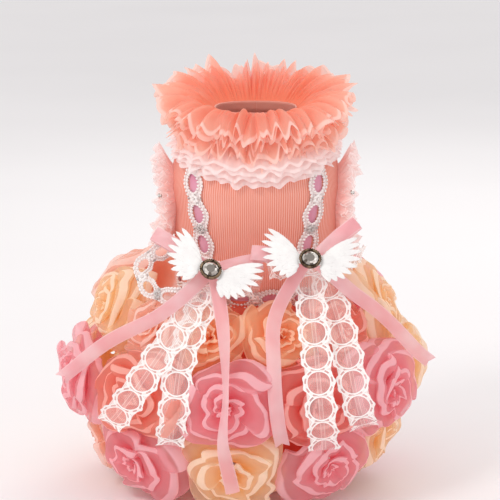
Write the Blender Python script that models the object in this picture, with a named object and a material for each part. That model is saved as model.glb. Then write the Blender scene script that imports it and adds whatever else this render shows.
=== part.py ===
"""A party dress for a small dog: tulle ruff, ribbed bodice, lace, bows, winged brooches and a rosette skirt.

Metres, +Z up. The neck opening is centred on the origin, and the front of the dress faces -Y.
A turn is an angle about Z, 0 at the front and positive towards +X. A drop is a distance below the neck.
"""

from math import cos, pi, radians, sin

import bmesh
import bpy
import numpy as np
from mathutils import Vector
from mathutils.bvhtree import BVHTree

# Bodice
NECK_HALF_WIDTH = 0.028
NECK_HALF_DEPTH = 0.026
CHEST_HALF_WIDTH = 0.0605
CHEST_HALF_DEPTH = 0.052
WAIST_HALF_WIDTH = 0.052
WAIST_HALF_DEPTH = 0.046
BODICE_LENGTH = 0.130
SQUARENESS = 2.4
CLOTH = 0.0015
BODICE_COLUMNS = 24

# Leg holes
LEG_HOLE_HALF_WIDTH = 0.019
LEG_HOLE_HALF_HEIGHT = 0.024
LEG_HOLE_DROP = 0.066
LEG_HOLE_FORWARD = 0.004

# Skirt foundation
FOUNDATION_LENGTH = 0.112
FOUNDATION_HALF_WIDTH = 0.076
FOUNDATION_HALF_DEPTH = 0.069
HEM_HALF_WIDTH = 0.062
HEM_HALF_DEPTH = 0.057
SKIRT_SHIFT = -0.009
FOUNDATION_COLUMNS = 20

# Rosettes
SKIRT_HALF_WIDTH = 0.136
SKIRT_HALF_DEPTH = 0.124
SKIRT_DROP = 0.134
ROSETTE_HALF_DEPTH = 0.029
ROSETTE_HALF_WIDTH = 0.044
ROSETTE_HALF_HEIGHT = 0.031
ROSETTE_DIMPLE = 0.006
ROSETTE_SWIRL = 0.16
ROSETTE_ARMS = 3

# Ruff and frills
TULLE = 0.0010
RUFF_HALF_WIDTH = 0.0690
RUFF_HALF_DEPTH = 0.0640
RUFF_RISE = 0.006
RUFF_TILT = 0.014
RUFF_PLEAT = 0.0052
RUFF_PLEATS = 22
YOKE_FRILL_DROP = 0.016
YOKE_FRILL_WIDTH = 0.021
YOKE_FRILL_FLARE = 0.011
YOKE_PLEAT = 0.0024
YOKE_PLEATS = 20
SLEEVE_FRILL_SPREAD = 0.009
SLEEVE_FRILL_REACH = 0.014
SLEEVE_PLEAT = 0.0020
SLEEVE_PLEATS = 12

# Lace, ribbons and bows
LACE = 0.0010
RIBBON = 0.0010
BEADING_HALF_WIDTH = 0.0075
BEADING_RIBBON_HALF_WIDTH = 0.0040
WAIST_BEADING_HALF_WIDTH = 0.0062
STRAP_PITCH = 0.0215
STRAP_CELLS = 3
STRAP_TOP_DROP = 0.0370
WAIST_CELLS = 12
LACE_TAIL_HALF_WIDTH = 0.0108
LACE_TAIL_PITCH = 0.0180
SATIN_HALF_WIDTH = 0.0050
KNOT_SIZE = 0.0110
LOOP_DEPTH = 0.0070

# Brooches
STONE_HALF_WIDTH = 0.0056
STONE_HALF_HEIGHT = 0.0049
BEZEL = 0.0014
BEZEL_HEIGHT = 0.0036
STONE_CROWN = 0.0017
WING_SPAN = 0.0340
WING_RELIEF = 0.0030

# Clearances between pieces
GAP = 0.0005
CONTACT = 0.0004
SETTLE_STEP = 0.0001
SETTLE_REACH = 0.0050
SEAM = 0.0012
TRIM_LIFT = 0.0008
# Spare ratio on the clearance of a strip that is laid over other pieces
STEEP = 1.3
# Step along a strip, places across it and how far past its edges it is laid over what is behind it; and
# the stations that are kept of loops and tails
FINE_STEP = 0.0008
FINE_SHARES = 27
EDGE_MARGIN = 0.0012
LOOP_STATIONS = 13
TAIL_STATIONS = 13

# Down the bodice: share of its length, share of the way from neck to chest, and from chest to waist
BODICE_SECTIONS = np.array((
    (0.00, 0.00, 0.00),
    (0.05, 0.06, 0.00),
    (0.12, 0.36, 0.00),
    (0.20, 0.68, 0.00),
    (0.30, 0.90, 0.00),
    (0.42, 1.00, 0.00),
    (0.60, 1.00, 0.18),
    (0.80, 1.00, 0.60),
    (1.00, 1.00, 1.00),
))

# Down the foundation: share of its length, share of the way from waist to widest, and from widest to hem
FOUNDATION_SECTIONS = np.array((
    (0.00, 0.00, 0.00),
    (0.22, 0.50, 0.00),
    (0.46, 0.90, 0.00),
    (0.66, 1.00, 0.00),
    (0.84, 1.00, 0.42),
    (1.00, 1.00, 1.00),
))

# Down each strap: share of its length, turn in degrees
STRAP_TURNS = np.array(((0.0, 49.0), (0.5, 42.0), (1.0, 38.5)))

# The rows of rosettes: share of the skirt's drop, share of its half width, and tilt of the face in degrees
ROSETTE_ROWS = {
    "top": (0.155, 0.83, 24.0),
    "middle": (0.455, 1.00, 0.0),
    "bottom": (0.790, 0.855, -20.0),
}

# Each rosette: its row, turn in degrees, lift as a share of the skirt's drop, size and tint
ROSETTES = (
    ("top", -72, 0.05, 1.00, "cream"),
    ("top", -42, 0.00, 0.84, "peach"),
    ("top", -15, -0.02, 0.78, "apricot"),
    ("top", 17, -0.02, 0.80, "apricot"),
    ("top", 47, 0.00, 0.86, "salmon"),
    ("top", 80, 0.03, 1.12, "cream"),
    ("top", 128, 0.05, 1.10, "pink"),
    ("top", 180, 0.05, 1.10, "cream"),
    ("top", -124, 0.05, 1.10, "peach"),
    ("middle", -78, 0.00, 1.05, "pink"),
    ("middle", -38, 0.00, 1.00, "salmon"),
    ("middle", -4, -0.02, 0.96, "pink"),
    ("middle", 25, -0.02, 0.94, "coral"),
    ("middle", 59, 0.00, 1.02, "pink"),
    ("middle", 97, 0.03, 1.02, "cream"),
    ("middle", 143, 0.00, 1.10, "salmon"),
    ("middle", -167, 0.00, 1.10, "pink"),
    ("middle", -121, 0.00, 1.10, "cream"),
    ("bottom", -84, 0.00, 0.96, "peach"),
    ("bottom", -45, 0.00, 1.08, "pink"),
    ("bottom", -4, -0.02, 1.04, "cream"),
    ("bottom", 35, 0.00, 1.06, "pink"),
    ("bottom", 72, 0.06, 1.00, "cream"),
    ("bottom", 112, 0.07, 1.04, "pink"),
    ("bottom", 156, 0.02, 1.08, "peach"),
    ("bottom", -158, 0.00, 1.08, "cream"),
    ("bottom", -120, 0.00, 1.04, "coral"),
)

# Around each rosette's face, from its centre to its back: angle in degrees from the way it faces
ROSETTE_RINGS = (24.0, 47.0, 70.0, 94.0, 122.0)
ROSETTE_COLUMNS = 10

# Where the two bows are pinned: across as a share of the waist's half width, drop as a share of the
# bodice's length, and turn of the brooch in the plane of the front, in degrees
BOWS = {
    "left": (-0.596, 0.781, -25.0),
    "right": (0.721, 0.727, -6.0),
}

# The bows and brooches lean back with the waist behind them, in degrees
BOW_LEAN = 26.0

# Loops of satin: bow, direction in degrees from +X, length
SATIN_LOOPS = (
    ("left", 148.0, 0.047),
    ("left", 8.0, 0.036),
    ("right", 38.0, 0.042),
    ("right", 174.0, 0.041),
)

# Flat strips that hang from the bows, as across and drop in millimetres from the bow's middle
LACE_TAILS = {
    "lace_tail_left_inner": ("left", ((2, -1), (-8, 28), (-20, 57), (-25, 89), (-28, 120))),
    "lace_tail_left_outer": ("left", ((-3, 1), (-17, 30), (-41, 63), (-60, 91), (-71, 107))),
    "lace_tail_right_outer": ("right", ((6, 1), (15, 29), (24, 57), (31, 89), (39, 121))),
    "lace_tail_right_inner": ("right", ((1, 0), (1, 31), (4, 61), (7, 95), (10, 131))),
}
SATIN_TAILS = {
    "satin_tail_left_outer": ("left", ((-1, 4), (-38, 30), (-73, 53), (-107, 85)), 0.0, True),
    "satin_tail_left_inner": ("left", ((3, 6), (9, 40), (11, 77), (9, 115), (15, 153)), 62.0, False),
    "satin_tail_right_inner": ("right", ((-5, 6), (-24, 38), (-25, 72), (-23, 102), (-19, 127)), 0.0, True),
    "satin_tail_right_outer": ("right", ((6, 5), (28, 24), (54, 47), (88, 88)), 0.0, True),
}

# Loops of lace and of beading that lie flat beside the bows: bow, half width, middle line as above
FLAT_LOOPS = {
    "trim_loop_left": (
        "left",
        BEADING_HALF_WIDTH * 0.75,
        ((-15, 0), (-26, -8), (-40, -7), (-48, 2), (-44, 12), (-33, 17), (-20, 15)),
    ),
    "lace_loop_left": ("left", LACE_TAIL_HALF_WIDTH * 0.8, ((7, 10), (20, 15), (34, 19))),
    "lace_loop_middle": ("right", LACE_TAIL_HALF_WIDTH * 0.8, ((-7, 6), (-18, 10), (-29, 13))),
    "lace_loop_right": ("right", LACE_TAIL_HALF_WIDTH * 0.75, ((8, 4), (24, 7), (39, 11))),
}

# The feathers of one wing: direction in degrees from its outer side, length as a share of the span
FEATHERS = (
    (46.0, 1.00),
    (37.0, 0.98),
    (27.0, 0.93),
    (15.0, 0.85),
    (2.0, 0.76),
    (-12.0, 0.66),
    (-27.0, 0.55),
    (-45.0, 0.43),
)
# From root to tip: share of the feather's length, share of the relief on its ridge
FEATHER_STEPS = ((0.16, 1.00), (0.54, 0.78), (1.00, 0.40))

# Colours as red, green and blue, with roughness and metallic
FINISHES = {
    "salmon_cloth": ((0.88, 0.42, 0.31), 0.75, 0.0),
    "peach_tulle": ((0.98, 0.58, 0.42), 0.65, 0.0),
    "white_tulle": ((0.95, 0.88, 0.86), 0.65, 0.0),
    "white_lace": ((0.94, 0.88, 0.86), 0.70, 0.0),
    "rose_ribbon": ((0.90, 0.42, 0.58), 0.40, 0.0),
    "pink_satin": ((0.95, 0.62, 0.66), 0.30, 0.0),
    "white_enamel": ((0.92, 0.90, 0.88), 0.25, 0.0),
    "antique_bronze": ((0.24, 0.17, 0.10), 0.35, 1.0),
    "clear_stone": ((0.85, 0.80, 0.72), 0.05, 0.0),
    "lining": ((0.90, 0.35, 0.20), 0.80, 0.0),
    "cream": ((0.96, 0.76, 0.48), 0.65, 0.0),
    "peach": ((0.97, 0.70, 0.56), 0.65, 0.0),
    "apricot": ((0.96, 0.60, 0.32), 0.65, 0.0),
    "salmon": ((0.93, 0.48, 0.38), 0.65, 0.0),
    "coral": ((0.90, 0.36, 0.30), 0.65, 0.0),
    "pink": ((0.93, 0.45, 0.52), 0.65, 0.0),
}

MILLIMETRE = 0.001
BACKWARDS = (0, 1, 0)
built = {}


def finish(name):
    """The named finish, made once."""
    known = bpy.data.materials.get(name)
    if known:
        return known
    colour, roughness, metallic = FINISHES[name]
    made = bpy.data.materials.new(name)
    made.use_nodes = True
    shader = made.node_tree.nodes["Principled BSDF"]
    shader.inputs["Base Color"].default_value = (*colour, 1.0)
    shader.inputs["Roughness"].default_value = roughness
    shader.inputs["Metallic"].default_value = metallic
    return made


def add_piece(name, vertices, faces, colour, smooth=True):
    """A mesh object with its faces turned outwards."""
    mesh = bpy.data.meshes.new(name)
    mesh.from_pydata([tuple(v) for v in vertices], [], [tuple(int(i) for i in f) for f in faces])
    work = bmesh.new()
    work.from_mesh(mesh)
    bmesh.ops.triangulate(work, faces=work.faces)
    bmesh.ops.recalc_face_normals(work, faces=work.faces)
    work.to_mesh(mesh)
    work.free()
    if smooth:
        mesh.shade_smooth()
        mesh.set_sharp_from_angle(angle=radians(50))
    mesh.materials.append(finish(colour))
    piece = bpy.data.objects.new(name, mesh)
    bpy.context.scene.collection.objects.link(piece)
    built[name] = piece
    return piece


def grid_faces(rows, columns, wrap_rows, wrap_columns, start=0):
    """Quads between neighbours of a grid of vertices numbered row by row."""
    r = np.arange(rows if wrap_rows else rows - 1)
    c = np.arange(columns if wrap_columns else columns - 1)
    r, c = (g.ravel() for g in np.meshgrid(r, c, indexing="ij"))
    below, beside = (r + 1) % rows, (c + 1) % columns
    quads = (r * columns + c, below * columns + c, below * columns + beside, r * columns + beside)
    return np.stack(quads, 1) + start


def edge_loop_faces(ids, other, wrap):
    """Quads that join a row of vertices to its partner on the other side of a wall."""
    a = np.arange(len(ids) if wrap else len(ids) - 1)
    b = (a + 1) % len(ids)
    return np.stack((ids[a], other[a], other[b], ids[b]), 1)


def wall(front, back, wrap_rows=False, wrap_columns=False):
    """A closed wall between two grids of points: both faces, and a rim along each open edge."""
    rows, columns = front.shape[:2]
    count = rows * columns
    ids = np.arange(count).reshape(rows, columns)
    faces = [
        grid_faces(rows, columns, wrap_rows, wrap_columns),
        grid_faces(rows, columns, wrap_rows, wrap_columns, count)[:, ::-1],
    ]
    if not wrap_rows:
        for row in (ids[0], ids[-1]):
            faces.append(edge_loop_faces(row, row + count, wrap_columns))
    if not wrap_columns:
        for column in (ids[:, 0], ids[:, -1]):
            faces.append(edge_loop_faces(column, column + count, wrap_rows))
    return np.concatenate((front.reshape(-1, 3), back.reshape(-1, 3))), np.concatenate(faces)


def thicken(middle, thickness, wrap_rows=False, wrap_columns=False):
    """The two faces of a sheet, half its thickness to each side of its middle surface."""

    def slope(axis, wrap):
        if wrap:
            return np.roll(middle, -1, axis) - np.roll(middle, 1, axis)
        return np.gradient(middle, axis=axis)

    normal = np.cross(slope(0, wrap_rows), slope(1, wrap_columns))
    normal /= np.linalg.norm(normal, axis=2, keepdims=True)
    return middle + normal * thickness / 2, middle - normal * thickness / 2


def between(sections, share):
    """The two columns of a table of sections at a share of its length."""
    return (np.interp(share, sections[:, 0], sections[:, k]) for k in (1, 2))


def body_sizes(z):
    """Half width, half depth and middle of the bodice, or of the foundation below it, at a height."""
    chest, waist = between(BODICE_SECTIONS, -z / BODICE_LENGTH)
    widest, hem = between(FOUNDATION_SECTIONS, (-z - BODICE_LENGTH) / FOUNDATION_LENGTH)
    half_width = (
        NECK_HALF_WIDTH
        + (CHEST_HALF_WIDTH - NECK_HALF_WIDTH) * chest
        + (WAIST_HALF_WIDTH - CHEST_HALF_WIDTH) * waist
        + (FOUNDATION_HALF_WIDTH - WAIST_HALF_WIDTH) * widest
        + (HEM_HALF_WIDTH - FOUNDATION_HALF_WIDTH) * hem
    )
    half_depth = (
        NECK_HALF_DEPTH
        + (CHEST_HALF_DEPTH - NECK_HALF_DEPTH) * chest
        + (WAIST_HALF_DEPTH - CHEST_HALF_DEPTH) * waist
        + (FOUNDATION_HALF_DEPTH - WAIST_HALF_DEPTH) * widest
        + (HEM_HALF_DEPTH - FOUNDATION_HALF_DEPTH) * hem
    )
    return half_width, half_depth, SKIRT_SHIFT * widest


def section_radius(turn, half_width, half_depth):
    """Distance from the middle of a rounded square section to its edge."""
    across = (np.abs(np.sin(turn)) / half_width) ** SQUARENESS
    along = (np.abs(np.cos(turn)) / half_depth) ** SQUARENESS
    return (across + along) ** (-1 / SQUARENESS)


def body_point(turn, z, off=0.0):
    """A point of the body's outer surface, or off it by a distance."""
    turn, z, off = np.broadcast_arrays(np.asarray(turn, float), np.asarray(z, float), off)
    half_width, half_depth, middle = body_sizes(z)
    r = section_radius(turn, half_width, half_depth) + off
    return np.stack((middle + r * np.sin(turn), -r * np.cos(turn), z), -1)


def body_shell(name, drops, columns, colour):
    """A cloth tube that follows the body between two heights."""
    turns = np.arange(columns) / columns * 2 * pi
    turns, z = np.meshgrid(turns, -np.asarray(drops))
    vertices, faces = wall(body_point(turns, z), body_point(turns, z, -CLOTH), wrap_columns=True)
    return add_piece(name, vertices, faces, colour)


def cut_leg_holes(bodice):
    """One elliptical hole straight through both sides of the bodice."""
    bpy.ops.mesh.primitive_cylinder_add(vertices=20, radius=1.0, depth=1.0)
    cutter = bpy.context.active_object
    cutter.name = "leg_hole_cutter"
    reach = 4 * CHEST_HALF_WIDTH
    for v in cutter.data.vertices:
        y, z, x = v.co.x * LEG_HOLE_HALF_WIDTH, v.co.y * LEG_HOLE_HALF_HEIGHT, v.co.z * reach
        v.co = (x, y - LEG_HOLE_FORWARD, z - LEG_HOLE_DROP)
    cutter.hide_render = True
    cutter.display_type = "WIRE"
    cut = bodice.modifiers.new("leg_holes", "BOOLEAN")
    cut.operation = "DIFFERENCE"
    cut.solver = "EXACT"
    cut.object = cutter


def pleated_ring(name, pleats, rows, place, colour):
    """A frill that closes on itself: place gives its middle surface from a turn, a share and a pleat sign."""
    columns = 2 * pleats
    turn = np.arange(columns) / columns * 2 * pi
    sign = np.where(np.arange(columns) % 2, -1.0, 1.0)
    turn, share = np.meshgrid(turn, np.asarray(rows))
    front, back = thicken(place(turn, share, sign[None, :]), TULLE, wrap_columns=True)
    vertices, faces = wall(front, back, wrap_columns=True)
    return add_piece(name, vertices, faces, colour)


def ruff(name, seam_drop, crest, rim_rise, width_share):
    """One half of the collar: it leaves the neck seam, rises over a crest and falls to a pleated rim."""

    def place(turn, share, sign):
        start = body_point(turn, -seam_drop, SEAM)
        half_width, half_depth = RUFF_HALF_WIDTH * width_share, RUFF_HALF_DEPTH * width_share
        rim = section_radius(turn, half_width, half_depth)
        begin = np.linalg.norm(start[..., :2], axis=2)
        r = begin + (rim - begin) * share
        rim_z = rim_rise - RUFF_TILT * np.cos(turn)
        z = -seam_drop + (rim_z + seam_drop) * share + crest * np.sin(pi * share)
        z = z + RUFF_PLEAT * share * sign
        return np.stack((r * np.sin(turn), -r * np.cos(turn), z), -1)

    return pleated_ring(name, RUFF_PLEATS, (0.0, 0.45, 1.0), place, "peach_tulle")


def yoke_frill():
    """The white frill that hangs from the yoke, shorter over the sleeves."""

    def place(turn, share, sign):
        side = np.abs(np.sin(turn)) ** 2
        top = YOKE_FRILL_DROP - 0.25 * YOKE_FRILL_DROP * side
        z = -top - YOKE_FRILL_WIDTH * share * (1 - 0.42 * side)
        return body_point(turn, z, SEAM + YOKE_FRILL_FLARE * share**1.3 + YOKE_PLEAT * share * sign)

    return pleated_ring("yoke_frill", YOKE_PLEATS, (0.0, 0.5, 1.0), place, "white_tulle")


def sleeve_frill(name, side):
    """The white frill round a leg hole."""

    def place(turn, share, sign):
        spread = SEAM + SLEEVE_FRILL_SPREAD * share + SLEEVE_PLEAT * share * sign
        y = -LEG_HOLE_FORWARD + (LEG_HOLE_HALF_WIDTH + spread) * np.cos(turn)
        z = -LEG_HOLE_DROP + (LEG_HOLE_HALF_HEIGHT + spread) * np.sin(turn)
        half_width, half_depth, _ = body_sizes(z)
        inside = np.clip(1 - (np.abs(y) / half_depth) ** SQUARENESS, 0.05, 1)
        x = half_width * inside ** (1 / SQUARENESS) + SEAM + SLEEVE_FRILL_REACH * share
        return np.stack((side * x, y, z), -1)

    return pleated_ring(name, SLEEVE_PLEATS, (0.0, 0.45, 1.0), place, "white_tulle")


def pierced_strip(name, cells, pitch, edge, waist, window, thickness, place, wrap=False):
    """A strip of lace with one window in each cell.

    edge is its half width at the middle of a cell, waist its half width between cells, and window the
    half length and half width of the hole. place turns (along, across, height) into a point in space.
    """
    angles = np.radians((180, 135, 90, 45, 0, -45, -90, -135))
    lines = cells if wrap else cells + 1
    along, across = [], []
    for line in range(lines):
        along += [line * pitch] * 3
        across += [waist, 0.0, -waist]
    cell_start = len(along)
    for cell in range(cells):
        middle = (cell + 0.5) * pitch
        along += [middle, middle, *(middle + window[0] * np.cos(angles))]
        across += [edge, -edge, *(window[1] * np.sin(angles))]
    flat = np.array((along, across)).T
    count = len(flat)
    top, rim = [], []
    for cell in range(cells):
        left, right = 3 * cell, 3 * ((cell + 1) % lines)
        own = cell_start + 10 * cell
        outer = (left + 1, left, own, right, right + 1, right + 2, own + 1, left + 2)
        hole = own + 2 + np.arange(8)
        for k in range(8):
            n = (k + 1) % 8
            top.append((outer[k], outer[n], hole[n], hole[k]))
            rim.append((hole[k], hole[n]))
        rim += [(left, own), (own, right), (left + 2, own + 1), (own + 1, right + 2)]
    if not wrap:
        last = 3 * cells
        rim += [(0, 1), (1, 2), (last, last + 1), (last + 1, last + 2)]
    faces = top + [tuple(i + count for i in f[::-1]) for f in top]
    faces += [(a, b, b + count, a + count) for a, b in rim]
    points = [place(flat[:, 0], flat[:, 1], height) for height in (thickness, 0.0)]
    return add_piece(name, np.concatenate(points), faces, "white_lace")


def strap(side, name):
    """The ribbon and the lace beading that run down one side of the front."""
    length = STRAP_CELLS * STRAP_PITCH

    def place(base):
        def at(along, across, height):
            z = -STRAP_TOP_DROP - along
            turn = np.radians(np.interp(along / length, STRAP_TURNS[:, 0], STRAP_TURNS[:, 1]))
            half_width, half_depth, _ = body_sizes(z)
            turn = side * turn + across / section_radius(turn, half_width, half_depth)
            return body_point(turn, z, base + height)

        return at

    along, across = np.meshgrid(
        np.linspace(0, length, 10), np.array((-1, 0, 1)) * BEADING_RIBBON_HALF_WIDTH, indexing="ij"
    )
    on_cloth = place(TRIM_LIFT)
    vertices, faces = wall(on_cloth(along, across, RIBBON), on_cloth(along, across, 0.0))
    add_piece("strap_ribbon_" + name, vertices, faces, "rose_ribbon")
    window = (0.34 * STRAP_PITCH, 0.46 * BEADING_HALF_WIDTH)
    pierced_strip(
        "strap_lace_" + name,
        STRAP_CELLS,
        STRAP_PITCH,
        BEADING_HALF_WIDTH,
        0.72 * BEADING_HALF_WIDTH,
        window,
        LACE,
        place(TRIM_LIFT + RIBBON + GAP),
    )


def waist_trim():
    """The same beading as a ring over the waist seam."""
    girth = 2 * pi * (WAIST_HALF_WIDTH + WAIST_HALF_DEPTH) / 2
    pitch = girth / WAIST_CELLS

    def place(base):
        def at(along, across, height):
            return body_point(along / girth * 2 * pi, across - BODICE_LENGTH, base + height)

        return at

    turns = np.arange(BODICE_COLUMNS) / BODICE_COLUMNS * girth
    ribbon_half = 0.7 * WAIST_BEADING_HALF_WIDTH
    across, along = np.meshgrid(np.array((-1, 1)) * ribbon_half, turns, indexing="ij")
    on_cloth = place(TRIM_LIFT)
    vertices, faces = wall(
        on_cloth(along, across, RIBBON), on_cloth(along, across, 0.0), wrap_columns=True
    )
    add_piece("waist_ribbon", vertices, faces, "rose_ribbon")
    window = (0.32 * pitch, 0.5 * WAIST_BEADING_HALF_WIDTH)
    pierced_strip(
        "waist_lace",
        WAIST_CELLS,
        pitch,
        WAIST_BEADING_HALF_WIDTH,
        0.8 * WAIST_BEADING_HALF_WIDTH,
        window,
        LACE,
        place(TRIM_LIFT + RIBBON + GAP + (pitch / 3) ** 2 / WAIST_HALF_DEPTH),
        wrap=True,
    )


def rosette_middle(row, turn, lift):
    """Where a rosette sits, the way it faces and the plane of its back."""
    drop, reach, tilt = ROSETTE_ROWS[row]
    z = -BODICE_LENGTH - SKIRT_DROP * (drop - lift)
    turn, tilt = radians(turn), radians(tilt)
    half_width, half_depth = (
        SKIRT_HALF_WIDTH * reach - ROSETTE_HALF_DEPTH,
        SKIRT_HALF_DEPTH * reach - ROSETTE_HALF_DEPTH,
    )
    middle = np.array((SKIRT_SHIFT + half_width * sin(turn), -half_depth * cos(turn), z))
    facing = np.array((cos(tilt) * sin(turn), -cos(tilt) * cos(turn), sin(tilt)))
    return middle, facing


def rosettes(carrier):
    """The gathered rosettes, each kept on its own side of a plane towards every neighbour and the carrier."""
    middles, facings = zip(*(rosette_middle(r[0], r[1], r[2]) for r in ROSETTES))
    middles, facings = np.array(middles), np.array(facings)
    sizes = np.array([r[3] for r in ROSETTES])
    polar = np.radians((0.0, *ROSETTE_RINGS, 180.0))
    around = np.arange(ROSETTE_COLUMNS) / ROSETTE_COLUMNS * 2 * pi
    made = []
    for i, (row, turn, lift, size, tint) in enumerate(ROSETTES):
        middle, facing = middles[i], facings[i]
        beside = np.array((cos(radians(turn)), sin(radians(turn)), 0.0))
        upward = np.cross(beside, facing)
        upward *= np.sign(upward[2])
        way = [facing]
        for p in polar[1:-1]:
            ring = np.outer(np.cos(around), beside) + np.outer(np.sin(around), upward)
            way += list(facing * cos(p) + ring * sin(p))
        way = np.array([*way, -facing])
        half = np.array((ROSETTE_HALF_DEPTH, ROSETTE_HALF_WIDTH, ROSETTE_HALF_HEIGHT)) * size
        shares = np.abs(way @ np.array((facing, beside, upward)).T) / half
        reach = (shares**2.4).sum(1) ** (-1 / 2.4)
        planes = []
        for j in range(len(ROSETTES)):
            if j != i:
                step = middles[j] - middle
                apart = np.linalg.norm(step)
                planes.append((step / apart, apart * size / (size + sizes[j]) - GAP / 2))
        level = np.abs(carrier[:, 2] - middle[2]) < half[2] + GAP
        planes.append((-facing, middle @ facing - (carrier[level] @ facing).max() - GAP))
        for normal, distance in planes:
            towards = way @ normal
            limit = np.where(towards > 1e-6, distance / np.maximum(towards, 1e-6), 1.0)
            reach = np.minimum(reach, limit)
        angle = np.repeat(polar[1:-1], ROSETTE_COLUMNS)
        swirl = np.cos(ROSETTE_ARMS * np.tile(around, len(ROSETTE_RINGS)) + 3.2 * angle + i)
        fade = np.sin(np.minimum(angle, pi / 2)) * (angle < radians(100))
        reach[1:-1] *= 1 - ROSETTE_SWIRL * fade * (0.5 - 0.5 * swirl)
        reach[0] -= ROSETTE_DIMPLE
        vertices = middle + way * reach[:, None]
        rings = len(ROSETTE_RINGS)
        faces = [tuple(f) for f in grid_faces(rings, ROSETTE_COLUMNS, False, True, 1)]
        last = 1 + (rings - 1) * ROSETTE_COLUMNS
        for c in range(ROSETTE_COLUMNS):
            n = (c + 1) % ROSETTE_COLUMNS
            faces.append((0, 1 + c, 1 + n))
            faces.append((len(vertices) - 1, last + n, last + c))
        made.append(add_piece(f"rosette_{i + 1:02d}", vertices, faces, tint))
    for piece, facing in zip(made, facings):
        settle([piece], -facing, surface_of_all([piece]))


def gathered(pieces):
    """The corners and faces of pieces as they are seen, in one list each."""
    vertices, faces = [], []
    depsgraph = bpy.context.evaluated_depsgraph_get()
    for piece in pieces:
        shown = piece.evaluated_get(depsgraph)
        mesh = shown.to_mesh()
        start = len(vertices)
        vertices += [piece.matrix_world @ v.co for v in mesh.vertices]
        faces += [[start + k for k in f.vertices] for f in mesh.polygons]
        shown.to_mesh_clear()
    return vertices, faces


def surface_of_all(but=()):
    """A search tree over all pieces made so far, but for some."""
    return BVHTree.FromPolygons(*gathered([p for p in built.values() if p not in but]))


def settle(pieces, way, tree):
    """Bring pieces along a way in small steps until they meet what is there, and back by a hair."""
    way = Vector(way)
    vertices, faces = gathered(pieces)
    for k in range(int(SETTLE_REACH / SETTLE_STEP)):
        moved = [v + way * (SETTLE_STEP * k) for v in vertices]
        if BVHTree.FromPolygons(moved, faces).overlap(tree):
            shift = way * (SETTLE_STEP * k - CONTACT)
            for piece in pieces:
                for v in piece.data.vertices:
                    v.co += shift
                piece.data.update()
            bpy.context.view_layer.update()
            return


def front_of(tree, x, z):
    """How far forward the pieces reach at a place of the front view, or none."""
    far = -4 * SKIRT_HALF_DEPTH
    hit = tree.ray_cast(Vector((x, far, z)), Vector((0, 1, 0)))[0]
    return None if hit is None else hit.y


def bow_place(bow):
    """How far across and down a bow is pinned, and the turn of its brooch in degrees."""
    across, drop, roll = BOWS[bow]
    return across * WAIST_HALF_WIDTH, drop * BODICE_LENGTH, roll


def smooth_line(points, count):
    """Points at even steps along a smooth curve through the given ones."""
    points = np.asarray(points, float)
    fine = np.linspace(0, len(points) - 1, 24 * len(points))
    padded = np.vstack((2 * points[0] - points[1], points, 2 * points[-1] - points[-2]))
    k = np.minimum(fine.astype(int), len(points) - 2)
    t = (fine - k)[:, None]
    a, b, c, d = (padded[k + j] for j in range(4))
    curve = 0.5 * (2 * b + (c - a) * t + (2 * a - 5 * b + 4 * c - d) * t**2 + (3 * b - a - 3 * c + d) * t**3)
    length = np.concatenate(([0], np.cumsum(np.linalg.norm(np.diff(curve, axis=0), axis=1))))
    even = np.linspace(0, length[-1], count)
    return np.stack([np.interp(even, length, curve[:, j]) for j in range(points.shape[1])], 1)


def pulled_taut(depth):
    """The furthest back that a string held at both ends can run while it stays in front of each depth."""
    kept = [0]
    for k in range(1, len(depth)):
        while len(kept) > 1:
            a, b = kept[-2:]
            if (depth[b] - depth[a]) * (k - a) < (depth[k] - depth[a]) * (b - a):
                break
            kept.pop()
        kept.append(k)
    return np.interp(np.arange(len(depth)), kept, depth[kept])


def drape(bow, line, half_width, thickness, count, tree, lift=None):
    """The middle line, across and facing directions of a strip laid taut over what is behind it.

    The strip is followed in fine steps. At each it clears what it covers, by more where it runs steeply,
    and where it spans a hollow it runs straight. lift brings it further forward along its length.
    """
    across0, drop0, _ = bow_place(bow)
    points = np.asarray(line, float) * MILLIMETRE
    rough = smooth_line(points, 40)
    length = np.linalg.norm(np.diff(rough, axis=0), axis=1).sum()
    fine = (count - 1) * max(int(length / FINE_STEP / (count - 1)), 1) + 1
    flat = smooth_line(points, fine)
    x, z = across0 + flat[:, 0], -drop0 - flat[:, 1]
    tangent = np.gradient(np.stack((x, z), 1), axis=0)
    tangent /= np.linalg.norm(tangent, axis=1, keepdims=True)
    side = np.stack((-tangent[:, 1], tangent[:, 0]), 1)
    shares = np.linspace(-1, 1, FINE_SHARES) * (half_width + EDGE_MARGIN)
    behind = np.full(fine, np.nan)
    for k in range(fine):
        hits = [front_of(tree, x[k] + side[k, 0] * at, z[k] + side[k, 1] * at) for at in shares]
        hits = [y for y in hits if y is not None]
        if hits:
            behind[k] = min(hits)
    steps = np.arange(fine)
    known = ~np.isnan(behind)
    behind = np.interp(steps, steps[known], behind[known])
    if lift is not None:
        behind = behind - np.interp(steps, np.linspace(0, fine - 1, len(lift)), lift)
    taut = behind
    for _ in range(3):
        slope = np.gradient(taut) * fine / length
        taut = pulled_taut(behind - (thickness / 2 + GAP) * STEEP * np.sqrt(1 + slope**2))
    pick = np.linspace(0, fine - 1, count).astype(int)
    short = (np.interp(steps, pick, taut[pick]) - taut).max()
    middle = np.stack((x[pick], taut[pick] - short, z[pick]), 1)
    lengthwise = np.gradient(middle, axis=0)
    lengthwise /= np.linalg.norm(lengthwise, axis=1, keepdims=True)
    flat_side = np.stack((side[pick, 0], np.zeros(count), side[pick, 1]), 1)
    facing = np.cross(lengthwise, flat_side)
    facing *= -np.sign(facing[:, 1:2])
    return middle, flat_side, facing


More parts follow.
